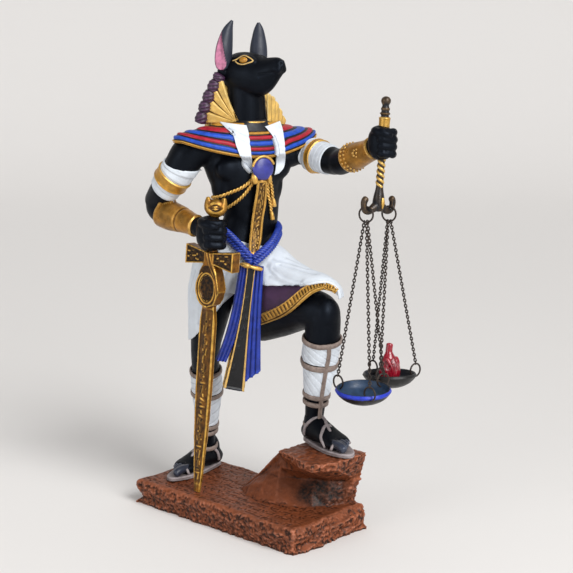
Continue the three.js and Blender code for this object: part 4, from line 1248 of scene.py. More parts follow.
def leg_straps():
    parts = [ring_round(leg_tree, LEFT_SHIN, at, lift, width, 1.5, tilt, turn=turn)
             for at, lift, width, tilt, turn in ((0.82, 0.9, 2.8, 0.01, 60), (0.62, 1.0, 3.2, 0.01, 60),
                                                 (0.39, 0.9, 2.8, 0.0, 0), (0.335, 0.8, 2.8, 0.0, 0),
                                                 (0.15, 0.9, 2.4, 0.0, 0))]
    parts += [ring_round(leg_tree, RIGHT_LEG, at, lift, 2.6, 1.4, 0.004)
              for at, lift in ((0.555, 0.9), (0.41, 1), (0.23, 0.9), (0.19, 0.9), (0.09, 0.9))]
    down = [(45, -22.4, 106.4), (45, -21, 98), (43.4, -19, 88), (42, -16.4, 76), (41.4, -14, 66),
            (41, -12.6, 57)]
    parts.append(strap(bmesh.new(), lay(leg_tree, down, 0.9, 6), 2.4, 1.5))
    return join(*parts)


def sandal(heel, turn, floor, foot_tree, inner):
    """Sole with its welt and the straps across the foot."""
    sole = bmesh.new()
    bmesh.ops.create_circle(sole, cap_ends=True, segments=56, radius=1)

    def rim(x, y, wider, z):
        t = 20.8 + (23 + wider) * x
        side = y * (5.4 + wider + 4.4 * clamp((t - 2) / 24) ** 1.3)
        t += (0.74 * side * inner - 3) * clamp((t - 16) / 24)
        return pace(heel, turn, t, side, floor + z)
    for v in sole.verts:
        v.co = rim(v.co.x, v.co.y, 0, 0)
    top = bmesh.ops.extrude_face_region(sole, geom=sole.faces[:])["geom"]
    bmesh.ops.translate(sole, vec=(0, 0, 2.5), verts=[g for g in top if isinstance(g, bmesh.types.BMVert)])
    bmesh.ops.recalc_face_normals(sole, faces=sole.faces)
    sole = melt(sole, 0.55, 4)
    groove = [rim(math.cos(math.radians(a)), math.sin(math.radians(a)), 0.3, 1.3) for a in range(0, 361, 6)]
    press(sole, [groove], 0.45, 0.3, 0.5, steps=1)

    def at(t, s, z):
        return pace(heel, turn, t, s, floor + z)
    runs = [([at(9.5, 0, 17), at(13, 0.4, 12), at(18, 1 * inner, 9.4), at(23, 1.6 * inner, 7.6), at(28, 2.4 * inner, 6.4),
              at(31.5, 3.3 * inner, 4)], 1.7),
            ([at(24, 10 * inner, 1.6), at(24, 8.4 * inner, 5), at(20, 4 * inner, 8), at(17, 1 * inner, 9.8),
              at(19, -4 * inner, 7.4), at(22, -8 * inner, 4), at(24, -9 * inner, 1.6)], 1.7),
            ([at(31, 9.4 * inner, 2), at(31.5, 8 * inner, 5), at(30.6, 3.4 * inner, 5.6), at(29, -3 * inner, 5),
              at(28, -8.6 * inner, 3.4), at(28, -9.6 * inner, 1.6)], 1.5),
            ([at(4, 6 * inner, 5), at(6, 5.4 * inner, 11), at(11, 0, 14.6), at(6, -5.4 * inner, 11),
              at(2, -5.4 * inner, 7), at(0, -5 * inner, 4)], 1.8)]
    straps = [strap(bmesh.new(), lay(foot_tree, points, 0.5, 6), width, 1.3) for points, width in runs]
    return join(sole, *straps)


# ---------------------------------------------------------------- kilt, belt and apron

def slice_off(bm, z, **side):
    """Cuts a shape level and drops the named side of the cut."""
    bmesh.ops.bisect_plane(bm, geom=bm.verts[:] + bm.edges[:] + bm.faces[:], plane_co=(0, 0, z), plane_no=(0, 0, 1),
                           **side)


def open_edges(bm):
    return [e for e in bm.edges if e.is_boundary]


def cut_below(bm, edge, cap=True):
    """Cuts away what lies below an edge whose height changes along X: edge is rows of (x, height)."""
    def height(x):
        return float(np.interp(x, [row[0] for row in edge], [row[1] for row in edge]))
    for v in bm.verts:
        v.co.z -= height(v.co.x)
    slice_off(bm, 0, clear_inner=True)
    if cap:
        bmesh.ops.holes_fill(bm, edges=open_edges(bm), sides=0)
    for v in bm.verts:
        v.co.z += height(v.co.x)
    return bm


# Lower edges seen from the front, as (across, height)
SKIRT_EDGE = [(-60, 75), (-40, 93), (-31, 101.3), (-25, 108), (-15.4, 120.6), (-9.2, 126), (0, 134), (20, 152)]
WHITE_EDGE = [(-40, 134.2), (8.9, 134.4), (18.6, 135.2), (24, 135.8), (29, 136.6), (33, 137.6), (37.5, 139.2),
              (42, 139.8), (46, 139.3), (49.2, 137), (50.6, 133.8), (51.6, 131.2), (60, 131)]


def kilt():
    """White cloth over the hips, the right thigh and the raised left thigh."""
    skirt = bmesh.new()
    tube(skirt, [(-22.6, 26, 92, 12.8, 15, 10), (-21.8, 25.5, 108, 13.2, 15.2, 10), (-20, 24, 126, 15, 16.2, 10),
                 (-13, 22.6, 146, 18, 16.8, 20)], sides=30, dome=False)
    skirt = cut_below(melt(skirt, 0.8, 4), SKIRT_EDGE)
    thigh = bmesh.new()
    tube(thigh, [(2, 29, 138, 15.2, 21, 45), (10, 22, 134, 16.4, 23, 45), (21, 10, 130.4, 16, 18.8, 45),
                 (33, -4, 127.8, 14.4, 17.4, 45), (41, -13.4, 127.2, 13, 16.4, 45), (46, -18.4, 126.4, 9.6, 14.8, 45),
                 (48.2, -20.8, 125.8, 7, 12.8, 45)], sides=32)
    thigh = cut_below(melt(thigh, 0.8, 4), WHITE_EDGE)
    hips = bmesh.new()
    tube(hips, [(-6, 25, 130, 20, 17, 28), (-6, 24, 139, 23, 18.6, 28), (-4.6, 23.2, 148, 22.2, 17.6, 28),
                (-1.2, 22.3, 159, 19, 14.2, 28)], sides=30, dome=False)
    blob(hips, (10, 14, 141), (10, 12, 8), 45, 0)
    bm = melt(join(skirt, thigh, hips), 0.74, 6)
    tree = tree_of(bm)
    folds = [[(-18, 6, 154), (-24, 7, 140), (-29, 8, 124), (-31, 10, 110)], [(-14, 5, 150), (-20, 5, 134), (-24, 6, 118)],
             [(-32, 15, 140), (-35, 20, 126), (-36, 22, 112)], [(-28, 8, 132), (-30, 8, 118), (-24, 6, 108)],
             [(-12, 4, 140), (-17, 5, 126), (-20, 6, 112)], [(-8, 2, 134), (-12, 4, 122)],
             [(12, -2, 148), (20, -8, 142), (30, -14, 139)], [(10, -4, 142), (20, -10, 138), (32, -18, 137)],
             [(18, 0, 150), (27, -4, 146), (38, -12, 143)], [(14, 2, 154), (24, 2, 150), (34, -4, 147)],
             [(8, -2, 150), (12, -8, 142), (22, -14, 136)], [(24, 8, 152), (34, 4, 147), (42, -6, 142)]]
    laid = [[p for p, _ in lay(tree, fold)] for fold in folds]
    press(bm, laid, 2.4, 1.0)
    # The fold lines are washed dark, partly as painted shade in the creases
    press(bm, laid, 0.8, 0.45, 0.35)
    roughen(bm, 0.35, 9, seed=3)
    return bm


def underskirt():
    """Dark cloth round the raised thigh, below the white one, before its lower edge is cut."""
    bm = bmesh.new()
    tube(bm, [(2, 28, 128, 13, 23, 45), (10, 20.6, 126, 15.2, 22.4, 45), (21, 9.6, 125.6, 15, 17.6, 45),
              (33, -4.4, 126, 13.5, 15.8, 45), (41, -13.6, 125.6, 12.2, 15.2, 45), (46, -18.4, 125.2, 9.5, 13.9, 45),
              (48, -20.6, 124.4, 7.2, 12, 45)], sides=32)
    return melt(bm, 0.9, 5)


# Middle of the gold hem seen from the front, as (across, height)
HEM = [(3, 112), (7.8, 114.4), (13, 117.5), (18.5, 121.2), (24, 125.8), (29, 130.8), (33, 134.4), (37.5, 137),
       (42, 138), (46, 137.8), (49.4, 135.6)]


def fringe(tree):
    """Ribbed gold hem of the underskirt."""
    laid = ease(lay_from_front(tree, smooth_path([(*p, 0) for p in HEM], 10)), 14)
    count = len(laid) - 1

    def place(u, v):
        at = v * count
        k = min(int(at), count - 1)
        spot = laid[k][0].lerp(laid[k + 1][0], at - k)
        out = laid[k][1].lerp(laid[k + 1][1], at - k).normalized()
        ahead = (laid[k + 1][0] - laid[k][0]).normalized()
        side = ahead.cross(out).normalized()
        rib = 0.5 + 0.9 * abs(math.sin(math.pi * 30 * v)) ** 0.5
        if u > 0.7 or u < 0.07:
            rib = 0.8 if 0.8 < u < 0.87 else 1.5
        return spot + side * (u - 0.5) * float(np.interp(v, (0, 0.58, 0.8, 1), (6, 6, 4, 1.8))) + out * rib

    # Darkens the valleys between ribs: washed paint, partly painted shade
    def darkening(u, v):
        if u > 0.7 or u < 0.07:
            return 0.9 if 0.8 < u < 0.87 else 0.0
        return clamp(2.2 - 3 * abs(math.sin(math.pi * 30 * v)))
    return sheet(place, 15, 290, 1.6, darkening=darkening)


def white_hem(tree):
    """Rolled outer edge of the white cloth round the knee."""
    seen = [(30, 137.2, 0), (33, 138.3, 0), (37.5, 139.8, 0), (42, 140.4, 0), (46, 139.9, 0), (49.2, 137.6, 0),
            (50.6, 134.4, 0), (51, 131.8, 0)]
    laid = ease(lay_from_front(tree, smooth_path(seen, 6), 0.2), 6, turn=False)
    return strap(bmesh.new(), laid, 1.7, 1.4)


BELT = [[(3, 1.6, 148), (-3.6, 2.8, 155.4), (-10, 6.2, 161.4), (-15.4, 11.8, 164.4), (-18.6, 19.6, 163.4),
         (-17.4, 28, 162.6), (-13, 34, 163), (-6, 37.6, 164)],
        [(3, 1.6, 148), (9, 3.2, 152.6), (14, 7, 157.4), (16.6, 13.6, 161.4), (17.2, 22, 163.2), (14.6, 30, 164.6),
         (7, 36, 165), (-6, 37.6, 164)]]


def belt():
    """Doubled twisted cord round the waist, crossing in a V under the strip."""
    cords = []
    for n, path in enumerate(BELT):
        for level in (-1.55, 1.55):
            line = [Vector(p) + Vector((0, 0, level)) + (Vector(p) - Vector((0, 22, p[2]))).normalized() * 0.5
                    for p in path]
            turns = 36

            def radius(u, v, sign=1 if n else -1):
                return 1.8 + 0.36 * math.sin(2 * math.pi * (4 * u * sign + turns * v))
            cords.append(hose(line, radius, 18, 180))
    return join(*cords)


def clasp():
    bm = bmesh.new()
    tube(bm, [(-3.4, -4.8, 147.7, 0.5, 0.7, 0), (-1.6, -5.5, 147.2, 1.3, 1.5, 0), (0.8, -5.7, 146.6, 1.5, 1.7, 0),
              (2.4, -5.5, 146.1, 0.9, 1.0, 0), (5.4, -4.7, 145.2, 1.1, 1.3, 0), (8.4, -3.2, 144.2, 0.9, 1.0, 0)],
         sides=14, steps=6)
    return bm


APRON = ((-20, -4.6), (12, 1.2))


def blue_panel(left_edge, right_edge, pleats, lift):
    def rise(u, v):
        return lift + 1.1 * abs(math.sin(math.pi * pleats * u)) ** 0.55

    # Darkens the gaps between pleats: washed paint, partly painted shade
    def darkening(u, v):
        gap = abs((u * pleats + 0.5) % 1 - 0.5)
        return 0.8 * bell(gap, 0.09) if 0.05 < u < 0.95 else 0.0
    return panel(*APRON, left_edge, right_edge, rise, 48, 40, 2.2, darkening)


def apron_middle():
    left_edge = [(20.4, 147), (18.2, 130), (15.2, 113), (11, 95), (6.4, 77.4)]
    right_edge = [(24.8, 146), (22.8, 130), (20.8, 112), (19.4, 94), (18, 74.6)]

    def rise(u, v):
        rim = u < 0.1 or u > 0.9 or v > 0.975
        return 3.7 if rim else 3.0
    bm = panel(*APRON, left_edge, right_edge, rise, 32, 116, 3.4)
    base, ahead = Vector((*APRON[0], 0)), Vector((*APRON[1], 0))
    along = (ahead - base).normalized()
    out = Vector((along.y, -along.x, 0))
    marks = []
    for k in range(9):
        z = 128 - 5.6 * k
        middle = 21.3 - 0.19 * (128 - z) * 1.45
        for group in stroke_row((-3, -2, 0), (1, 0, 0), (0, 1, 0), 6, 4, 3, 40 + k):
            marks.append([base + along * (middle + p[0]) + UP * (z + p[1]) + out * 3 for p in group])
    press(bm, marks, 0.4, -0.35)
    return bm


# ---------------------------------------------------------------- sword, scale, heart and base

def three_turn(place, *angles):
    """Placement used by the CAD: turns about X, then Y, then Z of the turned axes."""
    out = Matrix.Translation(place)
    for axis, angle in zip("XYZ", angles):
        out = out @ Matrix.Rotation(math.radians(angle), 4, axis)
    return out


# Heights of the sword's parts above its tip
BLADE_TOP = 108
LOOP_Z = 119.5
GUARD_Z = 136.6
GRIP_CUT = 158.4
EYE_Z = 164.6

SWORD_PLACE = three_turn((-29, -2.4, SLAB_TOP + SOLE_GAP), 1.2, 4.3, -40)
STAFF_PLACE = three_turn((71.2, -25, 183.5), 0, 3.6, 38)


def sword():
    """Blade with raised strokes, flared guard, oval loop and a crescent pommel round an eye."""
    bm = cad_copy("sword", SWORD_PLACE)
    slice_off(bm, GRIP_CUT, clear_outer=True)
    bmesh.ops.holes_fill(bm, edges=open_edges(bm), sides=0)
    ahead, left = direction(40)
    cup = [(-4.5, 169.8, 1.2, 1.1), (-4, 166.8, 2.4, 2.4), (-3, 163.8, 3.4, 3.1), (0, 162.2, 3.8, 3.4),
           (3, 163.8, 3.4, 3.1), (4, 166.8, 2.4, 2.4), (4.5, 169.8, 1.2, 1.1)]
    tube(bm, [tuple(left * x + UP * z) + (wide, tall, 130) for x, z, wide, tall in cup], sides=22)
    blob(bm, (0, 0, 165), (5.4, 3.4, 4.3), 40)
    bm = melt(bm, 0.39, 3)
    pit = bm.verts.layers.float.new("pit")

    def broad(z):
        return float(np.interp(z, (0, 8, 22, 34, 62), (2.2, 2.7, 3.4, 4.1, 4.9))) * 0.94

    def deep(z):
        return float(np.interp(z, (0, 8, 22, 34, 62), (1.2, 1.4, 1.7, 2, 2.3)))
    for v in bm.verts:
        v.co.x *= 1 + 0.26 * clamp((BLADE_TOP - v.co.z) / 8) * clamp(v.co.z / 12)
        x, y, z = v.co
        if 5 < z < BLADE_TOP:
            face = clamp((abs(y) - deep(z) * 0.55) / 0.3)
            inside = clamp((broad(z) - abs(x)) / 0.45) * min(1, (z - 5) / 1.5) * min(1, BLADE_TOP - z)
            v.co.y -= math.copysign(0.45 * inside * face, y)
            v[pit] = inside * face * (0.62 + 0.3 * noise.noise(v.co / 5))
        if abs(z - GUARD_Z) < 6 and abs(y) > 2.2 and abs(x) > 3.4:
            half = 2.1 + (abs(x) + 1) * 0.161
            inside = clamp((half - abs(z - GUARD_Z)) / 0.4) * clamp((17 - abs(x)) / 0.4)
            v.co.y -= math.copysign(0.5 * inside, y)
            v[pit] = inside
        if 107 < z < 134.5 and abs(y) > 1.2:
            oval = math.hypot(x / 5.6, (z - LOOP_Z) / 7.9)
            if oval < 1:
                v[pit] = 1.0
            elif abs(y) > 2.6 and oval < 1.62:
                v[pit] = 0.9
    marks = []
    for side in (-1, 1):
        for path in stroke_row((-4, 0, 7), (0, 0, 1), (1, 0, 0), 100, 8, 4.6, 21 + side, 1.2):
            if max(abs(p[0]) for p in path) < broad(path[0][2]) - 0.1:
                marks.append([Vector((p[0], side * (deep(p[2]) - 0.4), p[2])) for p in path])
        for arm in (-1, 1):
            start = (4.2 if arm > 0 else -16.4, 2.9 * side, GUARD_Z - 3.3)
            marks += stroke_row(start, (1, 0, 0), (0, 0, 1), 12.2, 6.6, 3.4, 31 + side * 2 + arm, 1.2)
    press(bm, marks[::2], 0.4, -0.5, -1.4)
    press(bm, marks[1::2], 0.36, 0.3, 1.2)
    rings = []
    for side in (-1, 1):
        rings.append([(6.1 * math.cos(math.radians(a)), 3.25 * side, LOOP_Z + 8.5 * math.sin(math.radians(a)))
                      for a in range(0, 361, 15)])
        rings.append([(-1.8, 3.3 * side, 140), (0.6, 3.6 * side, 133), (4.6, 3.6 * side, 127), (7.2, 3.4 * side, 119),
                      (6.6, 3.3 * side, 112.6)])
        rings.append([(0.4, 3.3 * side, 140), (2.4, 3.6 * side, 134), (6, 3.6 * side, 128), (8.4, 3.2 * side, 120)])
        rings.append([(-8 * math.sin(math.radians(a)), 3.2 * side, 119 - 9.8 * math.cos(math.radians(a)))
                      for a in range(0, 151, 15)])
    press(bm, rings, 0.42, -0.5, -1.6, steps=2)
    lens = [[tuple(left * (k * 0.34 - 3.4) + ahead * 3.5 * side + UP * (EYE_Z + rise * math.sin(math.pi * k / 20)))
             for k in range(21)] for side in (-1, 1) for rise in (-1.5, 0, 1.5)]
    press(bm, lens, 0.7, 0.5, 1.1)
    press(bm, [[ahead * 3.4 * side + UP * EYE_Z] for side in (-1, 1)], 0.9, -0.8, -1.6)
    for z in (149, 152, 155, 158, 161):
        press(bm, [[(3 * math.cos(a * 0.5236), 3 * math.sin(a * 0.5236), z) for a in range(13)]], 0.5, 0.4, 0.6)
    bmesh.ops.transform(bm, matrix=SWORD_PLACE, verts=bm.verts)
    return bm


def staff():
    """Dark shaft and the two hooks that carry the scale's rings."""
    bm = bmesh.new()
    tube(bm, [(0, 0, z, r, r, 0) for z, r in ((-3, 3), (0, 3.3), (4, 2.9), (9, 2), (20, 1.8), (30, 1.8), (35, 2.2),
                                              (45, 2.4), (46.5, 1.9), (47.5, 2.7), (48.5, 1.9), (50.1, 2.5), (51.5, 1.8),
                                              (53.1, 2.1))], sides=22)
    for side in (-1, 1):
        tube(bm, [(0, 0, -0.4, 2.8, 3, 90), (side * 3.8, 0, -2.7, 2.2, 2.3, 90), (side * 7, 0, -4.2, 1.8, 1.85, 90),
                  (side * 9.4, 0, -3.2, 1.75, 1.8, 90), (side * 10.3, 0, -0.4, 1.7, 1.75, 90),
                  (side * 9.9, 0, 1.7, 1.85, 1.9, 90), (side * 9, 0, 2.7, 1.75, 1.8, 90)], sides=18)
    blob(bm, (0, 0, 47.7), (3, 3, 0.9))
    blob(bm, (0, 0, 54.3), (2.7, 2.7, 2.5))
    bm = melt(bm, 0.42, 3)
    press(bm, [[(side * 9.8, -1.6, 1.4), (side * 9.6, -1.8, -1.4), (side * 8, -2, -3.2)] for side in (-1, 1)],
          0.5, 0.4, 0.5)
    bmesh.ops.transform(bm, matrix=STAFF_PLACE, verts=bm.verts)
    return bm


def staff_gold():
    """Gold twist round the shaft, the sleeve over the fist and a drop on the front of the beam."""
    bm = bmesh.new()
    rope(bm, [(0, 0, 9), (0, 0, 14), (0, 0, 20), (0, 0, 26)], 1.6, 0.8, 6, 2, 9)
    tube(bm, [(0, 0, 38.6, 2.7, 2.7), (0, 0, 39.6, 3.1, 3.1), (0, 0, 40.5, 2.95, 2.95), (0, 0, 44.5, 3, 3),
              (0, 0, 45.3, 3.2, 3.2), (0, 0, 45.9, 2.6, 2.6)], sides=28, dome=False)
    tube(bm, [(0, -3.3, 3.2, 0.7, 0.5, 0), (0, -3.7, 0.6, 1.1, 0.7, 0), (0, -3.5, -2.4, 0.3, 0.3, 0)], sides=12)
    bmesh.ops.transform(bm, matrix=STAFF_PLACE, verts=bm.verts)
    return bm


HANGER_RING_RADIUS = 4.1
PAN_RING_RADIUS = 3.7
PAN_Y = {"front": -42, "rear": -7.5}
PAN_Z = 86.5


def round_loop(centre, radius, right, up, count):
    return [centre + right * radius * math.cos(2 * math.pi * k / count) + up * radius * math.sin(2 * math.pi * k / count)
            for k in range(count)]


def hanging(name):
    """Chains of one pan: every link is an oval wire turned a quarter from the last."""
    chains = bmesh.new()
    for k in range(3):
        low, high = (Vector(v) * TO_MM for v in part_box(f"{name}_chain_{k + 1}"))
        nodes = cad_copy(f"{name}_chain_{k + 1}")
        middle = (low.z + high.z) / 2
        foot = [v.co for v in nodes.verts if v.co.z < middle]
        head_end = [v.co for v in nodes.verts if v.co.z >= middle]
        a, b = sum(foot, Vector()) / len(foot), sum(head_end, Vector()) / len(head_end)
        nodes.free()
        ahead = (b - a).normalized()
        a -= ahead * 1.4
        b += ahead * 1.5
        side = ahead.orthogonal().normalized()
        count = round((b - a).length / 1.66)
        step = (b - a).length / count
        for n in range(count):
            turn = Matrix.Rotation(math.radians(90 * (n % 2) + 35), 3, ahead)
            flat = turn @ side
            middle = a + ahead * step * (n + 0.5)
            oval = []
            for j in range(8):
                t = 2 * math.pi * (j + 0.5) / 8
                oval.append(middle + flat * 0.7 * math.cos(t) + ahead * (step * 0.5 + 0.3) * math.sin(t) * 1.05)
            loop_tube(chains, oval, 0.33, 4)
    return chains


def pan_rings(name):
    rings = bmesh.new()
    for k in range(3):
        low, high = (Vector(v) * TO_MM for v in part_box(f"{name}_pan_ring_{k + 1}"))
        ring = cad_copy(f"{name}_pan_ring_{k + 1}")
        centre = (low + high) / 2
        flat = max((v.co - centre for v in ring.verts), key=lambda d: math.hypot(d.x, d.y) if abs(d.z) < 1.6 else 0)
        ring.free()
        flat = Vector((flat.x, flat.y, 0)).normalized()
        loop_tube(rings, round_loop(centre, PAN_RING_RADIUS, flat, UP, 36), 0.5, 10)
    return rings


def hanger_ring(name):
    low, high = (Vector(v) * TO_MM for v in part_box(f"{name}_hanger_ring"))
    bm = bmesh.new()
    flat = Vector((math.cos(math.radians(30)), -math.sin(math.radians(30)), 0))
    return loop_tube(bm, round_loop((low + high) / 2, HANGER_RING_RADIUS, flat, UP, 48), 0.5, 10)


PAN_PROFILE = [(0.02, -8.6), (4, -8.3), (8, -7.3), (11.6, -5.4), (13.9, -3.2), (15, -1.5), (15.1, -1.2), (14.5, -0.1),
               (14.2, 0.05), (13.9, -0.2), (13.6, -1.2), (12.6, -3.4), (10.4, -5.2), (7, -6.6), (3.4, -7.3),
               (0.02, -7.5)]


def pan(name, tilt):
    """Shallow pan turned on a lathe, hammered a little; the map's second value runs from outside to inside."""
    low, high = (Vector(v) * TO_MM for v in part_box(f"{name}_pan"))
    seat = Matrix.Translation(Vector(((low.x + high.x) / 2, PAN_Y[name], PAN_Z)))
    seat = seat @ Matrix.Rotation(math.radians(tilt), 4, "X")
    rows = smooth_path([(*p, 0) for p in PAN_PROFILE], 5)

    def place(u, v):
        reach, z = lerp_on(rows, v)[:2]
        a = 2 * math.pi * u
        spot = Vector((reach * math.cos(a), reach * math.sin(a), z))
        return seat @ (spot * (1 + 0.006 * noise.noise(spot / 3)))
    bm = sheet(place, 76, 56, closed=True)
    bmesh.ops.remove_doubles(bm, verts=bm.verts, dist=0.05)
    bmesh.ops.recalc_face_normals(bm, faces=bm.faces)
    return bm


def heart():
    place = three_turn((79.7, -7.5, 79.45), -4, 2, 10)
    bm = bmesh.new()
    tube(bm, [(0, 0, 0.4, 2.6, 2.4), (-0.2, 0, 3, 5, 4.3), (0, 0, 7, 6.2, 5), (-0.2, 0, 11.2, 5.7, 4.6),
              (-0.6, 0, 14.6, 4.1, 3.6), (-0.8, 0, 18, 2.3, 2.3)], sides=24)
    blob(bm, (-2.2, -1.4, 7.4), (3.2, 3.6, 5.6), 0, 8)
    for path in ([(-0.8, -0.2, 14, 2.3, 2), (-0.9, -0.1, 19, 2, 1.9), (-0.6, 0.1, 22.8, 2, 1.9)],
                 [(3, -0.6, 9, 1.8, 1.8), (4, -0.4, 12.6, 1.6, 1.6), (3.2, 0, 15.4, 1.3, 1.3)],
                 [(-3.8, -0.6, 9, 1.6, 1.6), (-4.2, -0.3, 12.4, 1.3, 1.3), (-3, 0, 15, 1.1, 1.1)],
                 [(-2.6, -3.2, 15, 1.1, 1.1), (-0.8, -4.2, 12, 1.2, 1.2), (0.8, -4.6, 8, 1, 1), (0.6, -4, 4, 0.7, 0.7)],
                 [(2.6, -2.8, 14.6, 1, 1), (3.2, -3.6, 10, 1, 1), (2.4, -4.2, 6, 0.7, 0.7)]):
        tube(bm, path, sides=14)
    bm = melt(bm, 0.4, 3)
    lines = [[(-4, -3, 13), (-2.4, -4.4, 9), (-0.6, -4.4, 4)], [(0.6, -4.6, 15), (-1, -4.6, 11), (-3.6, -3.6, 6)],
             [(0.4, -4.8, 12), (0.8, -4.6, 8), (0.2, -3.6, 3)]]
    tree = tree_of(bm)
    press(bm, [[p for p, _ in lay(tree, line)] for line in lines], 0.5, 0.35, 0.5)
    bmesh.ops.transform(bm, matrix=place, verts=bm.verts)
    return bm


# Middle of the hollow under the rock's lip, as (across, height); the shade in it is painted black
HOLLOW_X, HOLLOW_Z = 42, 21.5


def base():
    """Rough slab with a hollowed rock; its top is covered with rows of shallow strokes."""
    bm = melt(cad_copy("base"), 0.6, 2)
    turned = Matrix.Rotation(math.radians(BASE_TURN), 4, "Z")
    bmesh.ops.transform(bm, matrix=turned.inverted(), verts=bm.verts)
    bm.normal_update()
    for amount, size, shift in ((1.2, 6, 0.0), (0.8, 2.6, 4.0), (0.5, 1.2, 8.0)):
        for v in bm.verts:
            side = 1 - min(1, max(0, v.normal.z - 0.35) / 0.4)
            if v.normal.z < -0.9 or not side:
                continue
            if v.co.z > 16:
                side *= 0.3 + 0.7 * min(1, max(0, (v.co.x - 42) / 12) + max(0, (v.co.z - 38) / 6))
            where = turned @ v.co
            side *= 1 - 0.85 * math.exp(-((where.x - HOLLOW_X) / 15) ** 2 - ((where.z - HOLLOW_Z) / 7) ** 2)
            swell = noise.noise(Vector((v.co.x / size, v.co.y / size, v.co.z / size * 1.4)) + Vector((shift, 0, 0)))
            lean = min(0.42, 0.06 * v.co.z - 0.1) if v.co.z < 15 else 0.06
            tuck = 0.3 * max(0, 4 - v.co.z) / amount if size == 6 else 0
            v.co += Vector((v.normal.x, v.normal.y, 0)) * amount * (swell + lean - tuck) * side
        bm.normal_update()
    slice_off(bm, 0.7, clear_inner=True)
    bottom = bmesh.ops.extrude_edge_only(bm, edges=open_edges(bm))["geom"]
    for v in (part for part in bottom if isinstance(part, bmesh.types.BMVert)):
        v.co.z = 0
    bmesh.ops.contextual_create(bm, geom=open_edges(bm))
    for v in bm.verts:
        if v.co.z > 12:
            v.co.z += 0.35 * noise.noise(v.co / 9) + (0.55 if v.co.z > 42 else 0.18) * noise.noise(v.co / 2.4)
    strokes = []
    for k in range(9):
        strokes += stroke_row((-61, -27.5 + 6.1 * k, SLAB_TOP), (1, 0, 0), (0, 1, 0), 122, 5.6, 5.2, 70 + k, 1.15)
    press(bm, strokes, 0.4, 0.45, 1.9)
    bmesh.ops.transform(bm, matrix=turned, verts=bm.verts)
    pit = bm.verts.layers.float["pit"]
    bm.normal_update()
    for v in bm.verts:
        x, y, z = v.co
        # Painted shade: the hollow under the rock's lip is painted black, less on its level top
        painted_hollow_shade = math.exp(-(((x - HOLLOW_X) / 15) ** 2 + ((z - HOLLOW_Z) / 7.5) ** 2) ** 1.4) if z > 14 and y < 8 else 0
        painted_hollow_shade *= 1.3 + 0.35 * noise.noise(v.co / 3)
        if v.normal.z > 0.62:
            v[pit] = max(v[pit], min(1.0, painted_hollow_shade * (1.2 if v.normal.z < 0.85 else 0.3)))
            continue
        crack = noise.noise(Vector((x / 2.2, y / 2.2, z / 9))) if z > 33 else noise.noise(v.co / 2.8)
        spot = clamp((crack - 0.12) / 0.12) if z < 14 or (z > 33 and x > 20) else 0
        # The bottom millimetre is painted black as shade where the base meets the floor
        v[pit] = max(v[pit], min(1.0, painted_hollow_shade * 1.15), 0.9 * spot, 1.0 if z < 1 else 0.0)
    return bm


body = skin()
body_tree = tree_of(body)
head_shape = head()
head_tree = tree_of(head_shape)
near_ear = [(-12.8, 13.4, 253.2, 3.2, 2.4, 25), (-12.9, 12.6, 257.8, 4.7, 3.2, 25), (-12.2, 12, 264, 4.9, 3.3, 25),
            (-11.2, 12.5, 270, 4.1, 2.8, 25), (-9.8, 12.8, 275.4, 2.8, 2, 25), (-7.6, 13, 280.2, 0.7, 0.6, 25)]
far_ear = [(6, 26, 253, 4.4, 3.2, 10), (6.4, 27, 260, 5, 3.4, 10), (6.5, 27.2, 266, 4.8, 3.1, 10),
           (6.6, 27.6, 271.5, 3.8, 2.5, 10), (6.6, 28, 276, 2.6, 1.8, 10), (6.5, 28, 279.4, 0.8, 0.7, 10)]
# The ear's pink hollow colour is its inner dish; its blue-grey edge colour is a painted highlight
ear_paint = paint("ear", (40, 45, 58), (190, 118, 148), 1.0, edge=(74, 86, 106), edge_amount=0.4, rough=0.42,
                  mottle=0.12, patch=12, grain=0.1, gloss=0.4, reach=1.5)
piece("jackal_head", head_shape, skin_paint)
piece("near_ear", ear(near_ear, 185, 40, 53, 0.55), ear_paint)
piece("far_ear", ear(far_ear, 95, 0, 62, 0.55), ear_paint)
outline, iris = eyes()
piece("eye_outlines", outline, liner_paint)
piece("irises", iris, iris_paint)
piece("sword_hand", fist((-18.6, -5.9, 164.7), -20, 16.2), skin_paint)
piece("scale_hand", fist((73.4, -25, 215.8), -10, 17.4, 0.88), skin_paint)
right_leg_shape, left_leg_shape = right_leg(), left_leg()
leg_tree = tree_of(right_leg_shape, left_leg_shape)
piece("right_leg", right_leg_shape, skin_paint)
piece("left_leg", left_leg_shape, skin_paint)
FEET = (("right", (-19.5, 47.5), -45, SLAB_TOP + SOLE_GAP, 1), ("left", (33.6, -1.6), 39, ROCK_TOP + SOLE_GAP, -1))
for name, heel, turn, floor, inner in FEET:
    foot, toes = bare_foot(heel, turn, floor + 1)
    foot_tree = tree_of(foot, toes)
    piece(f"{name}_foot", foot, skin_paint)
    piece(f"{name}_toes", toes, toe_paint)
    piece(f"{name}_sandal", sandal(heel, turn, floor, foot_tree, inner), sole_paint)

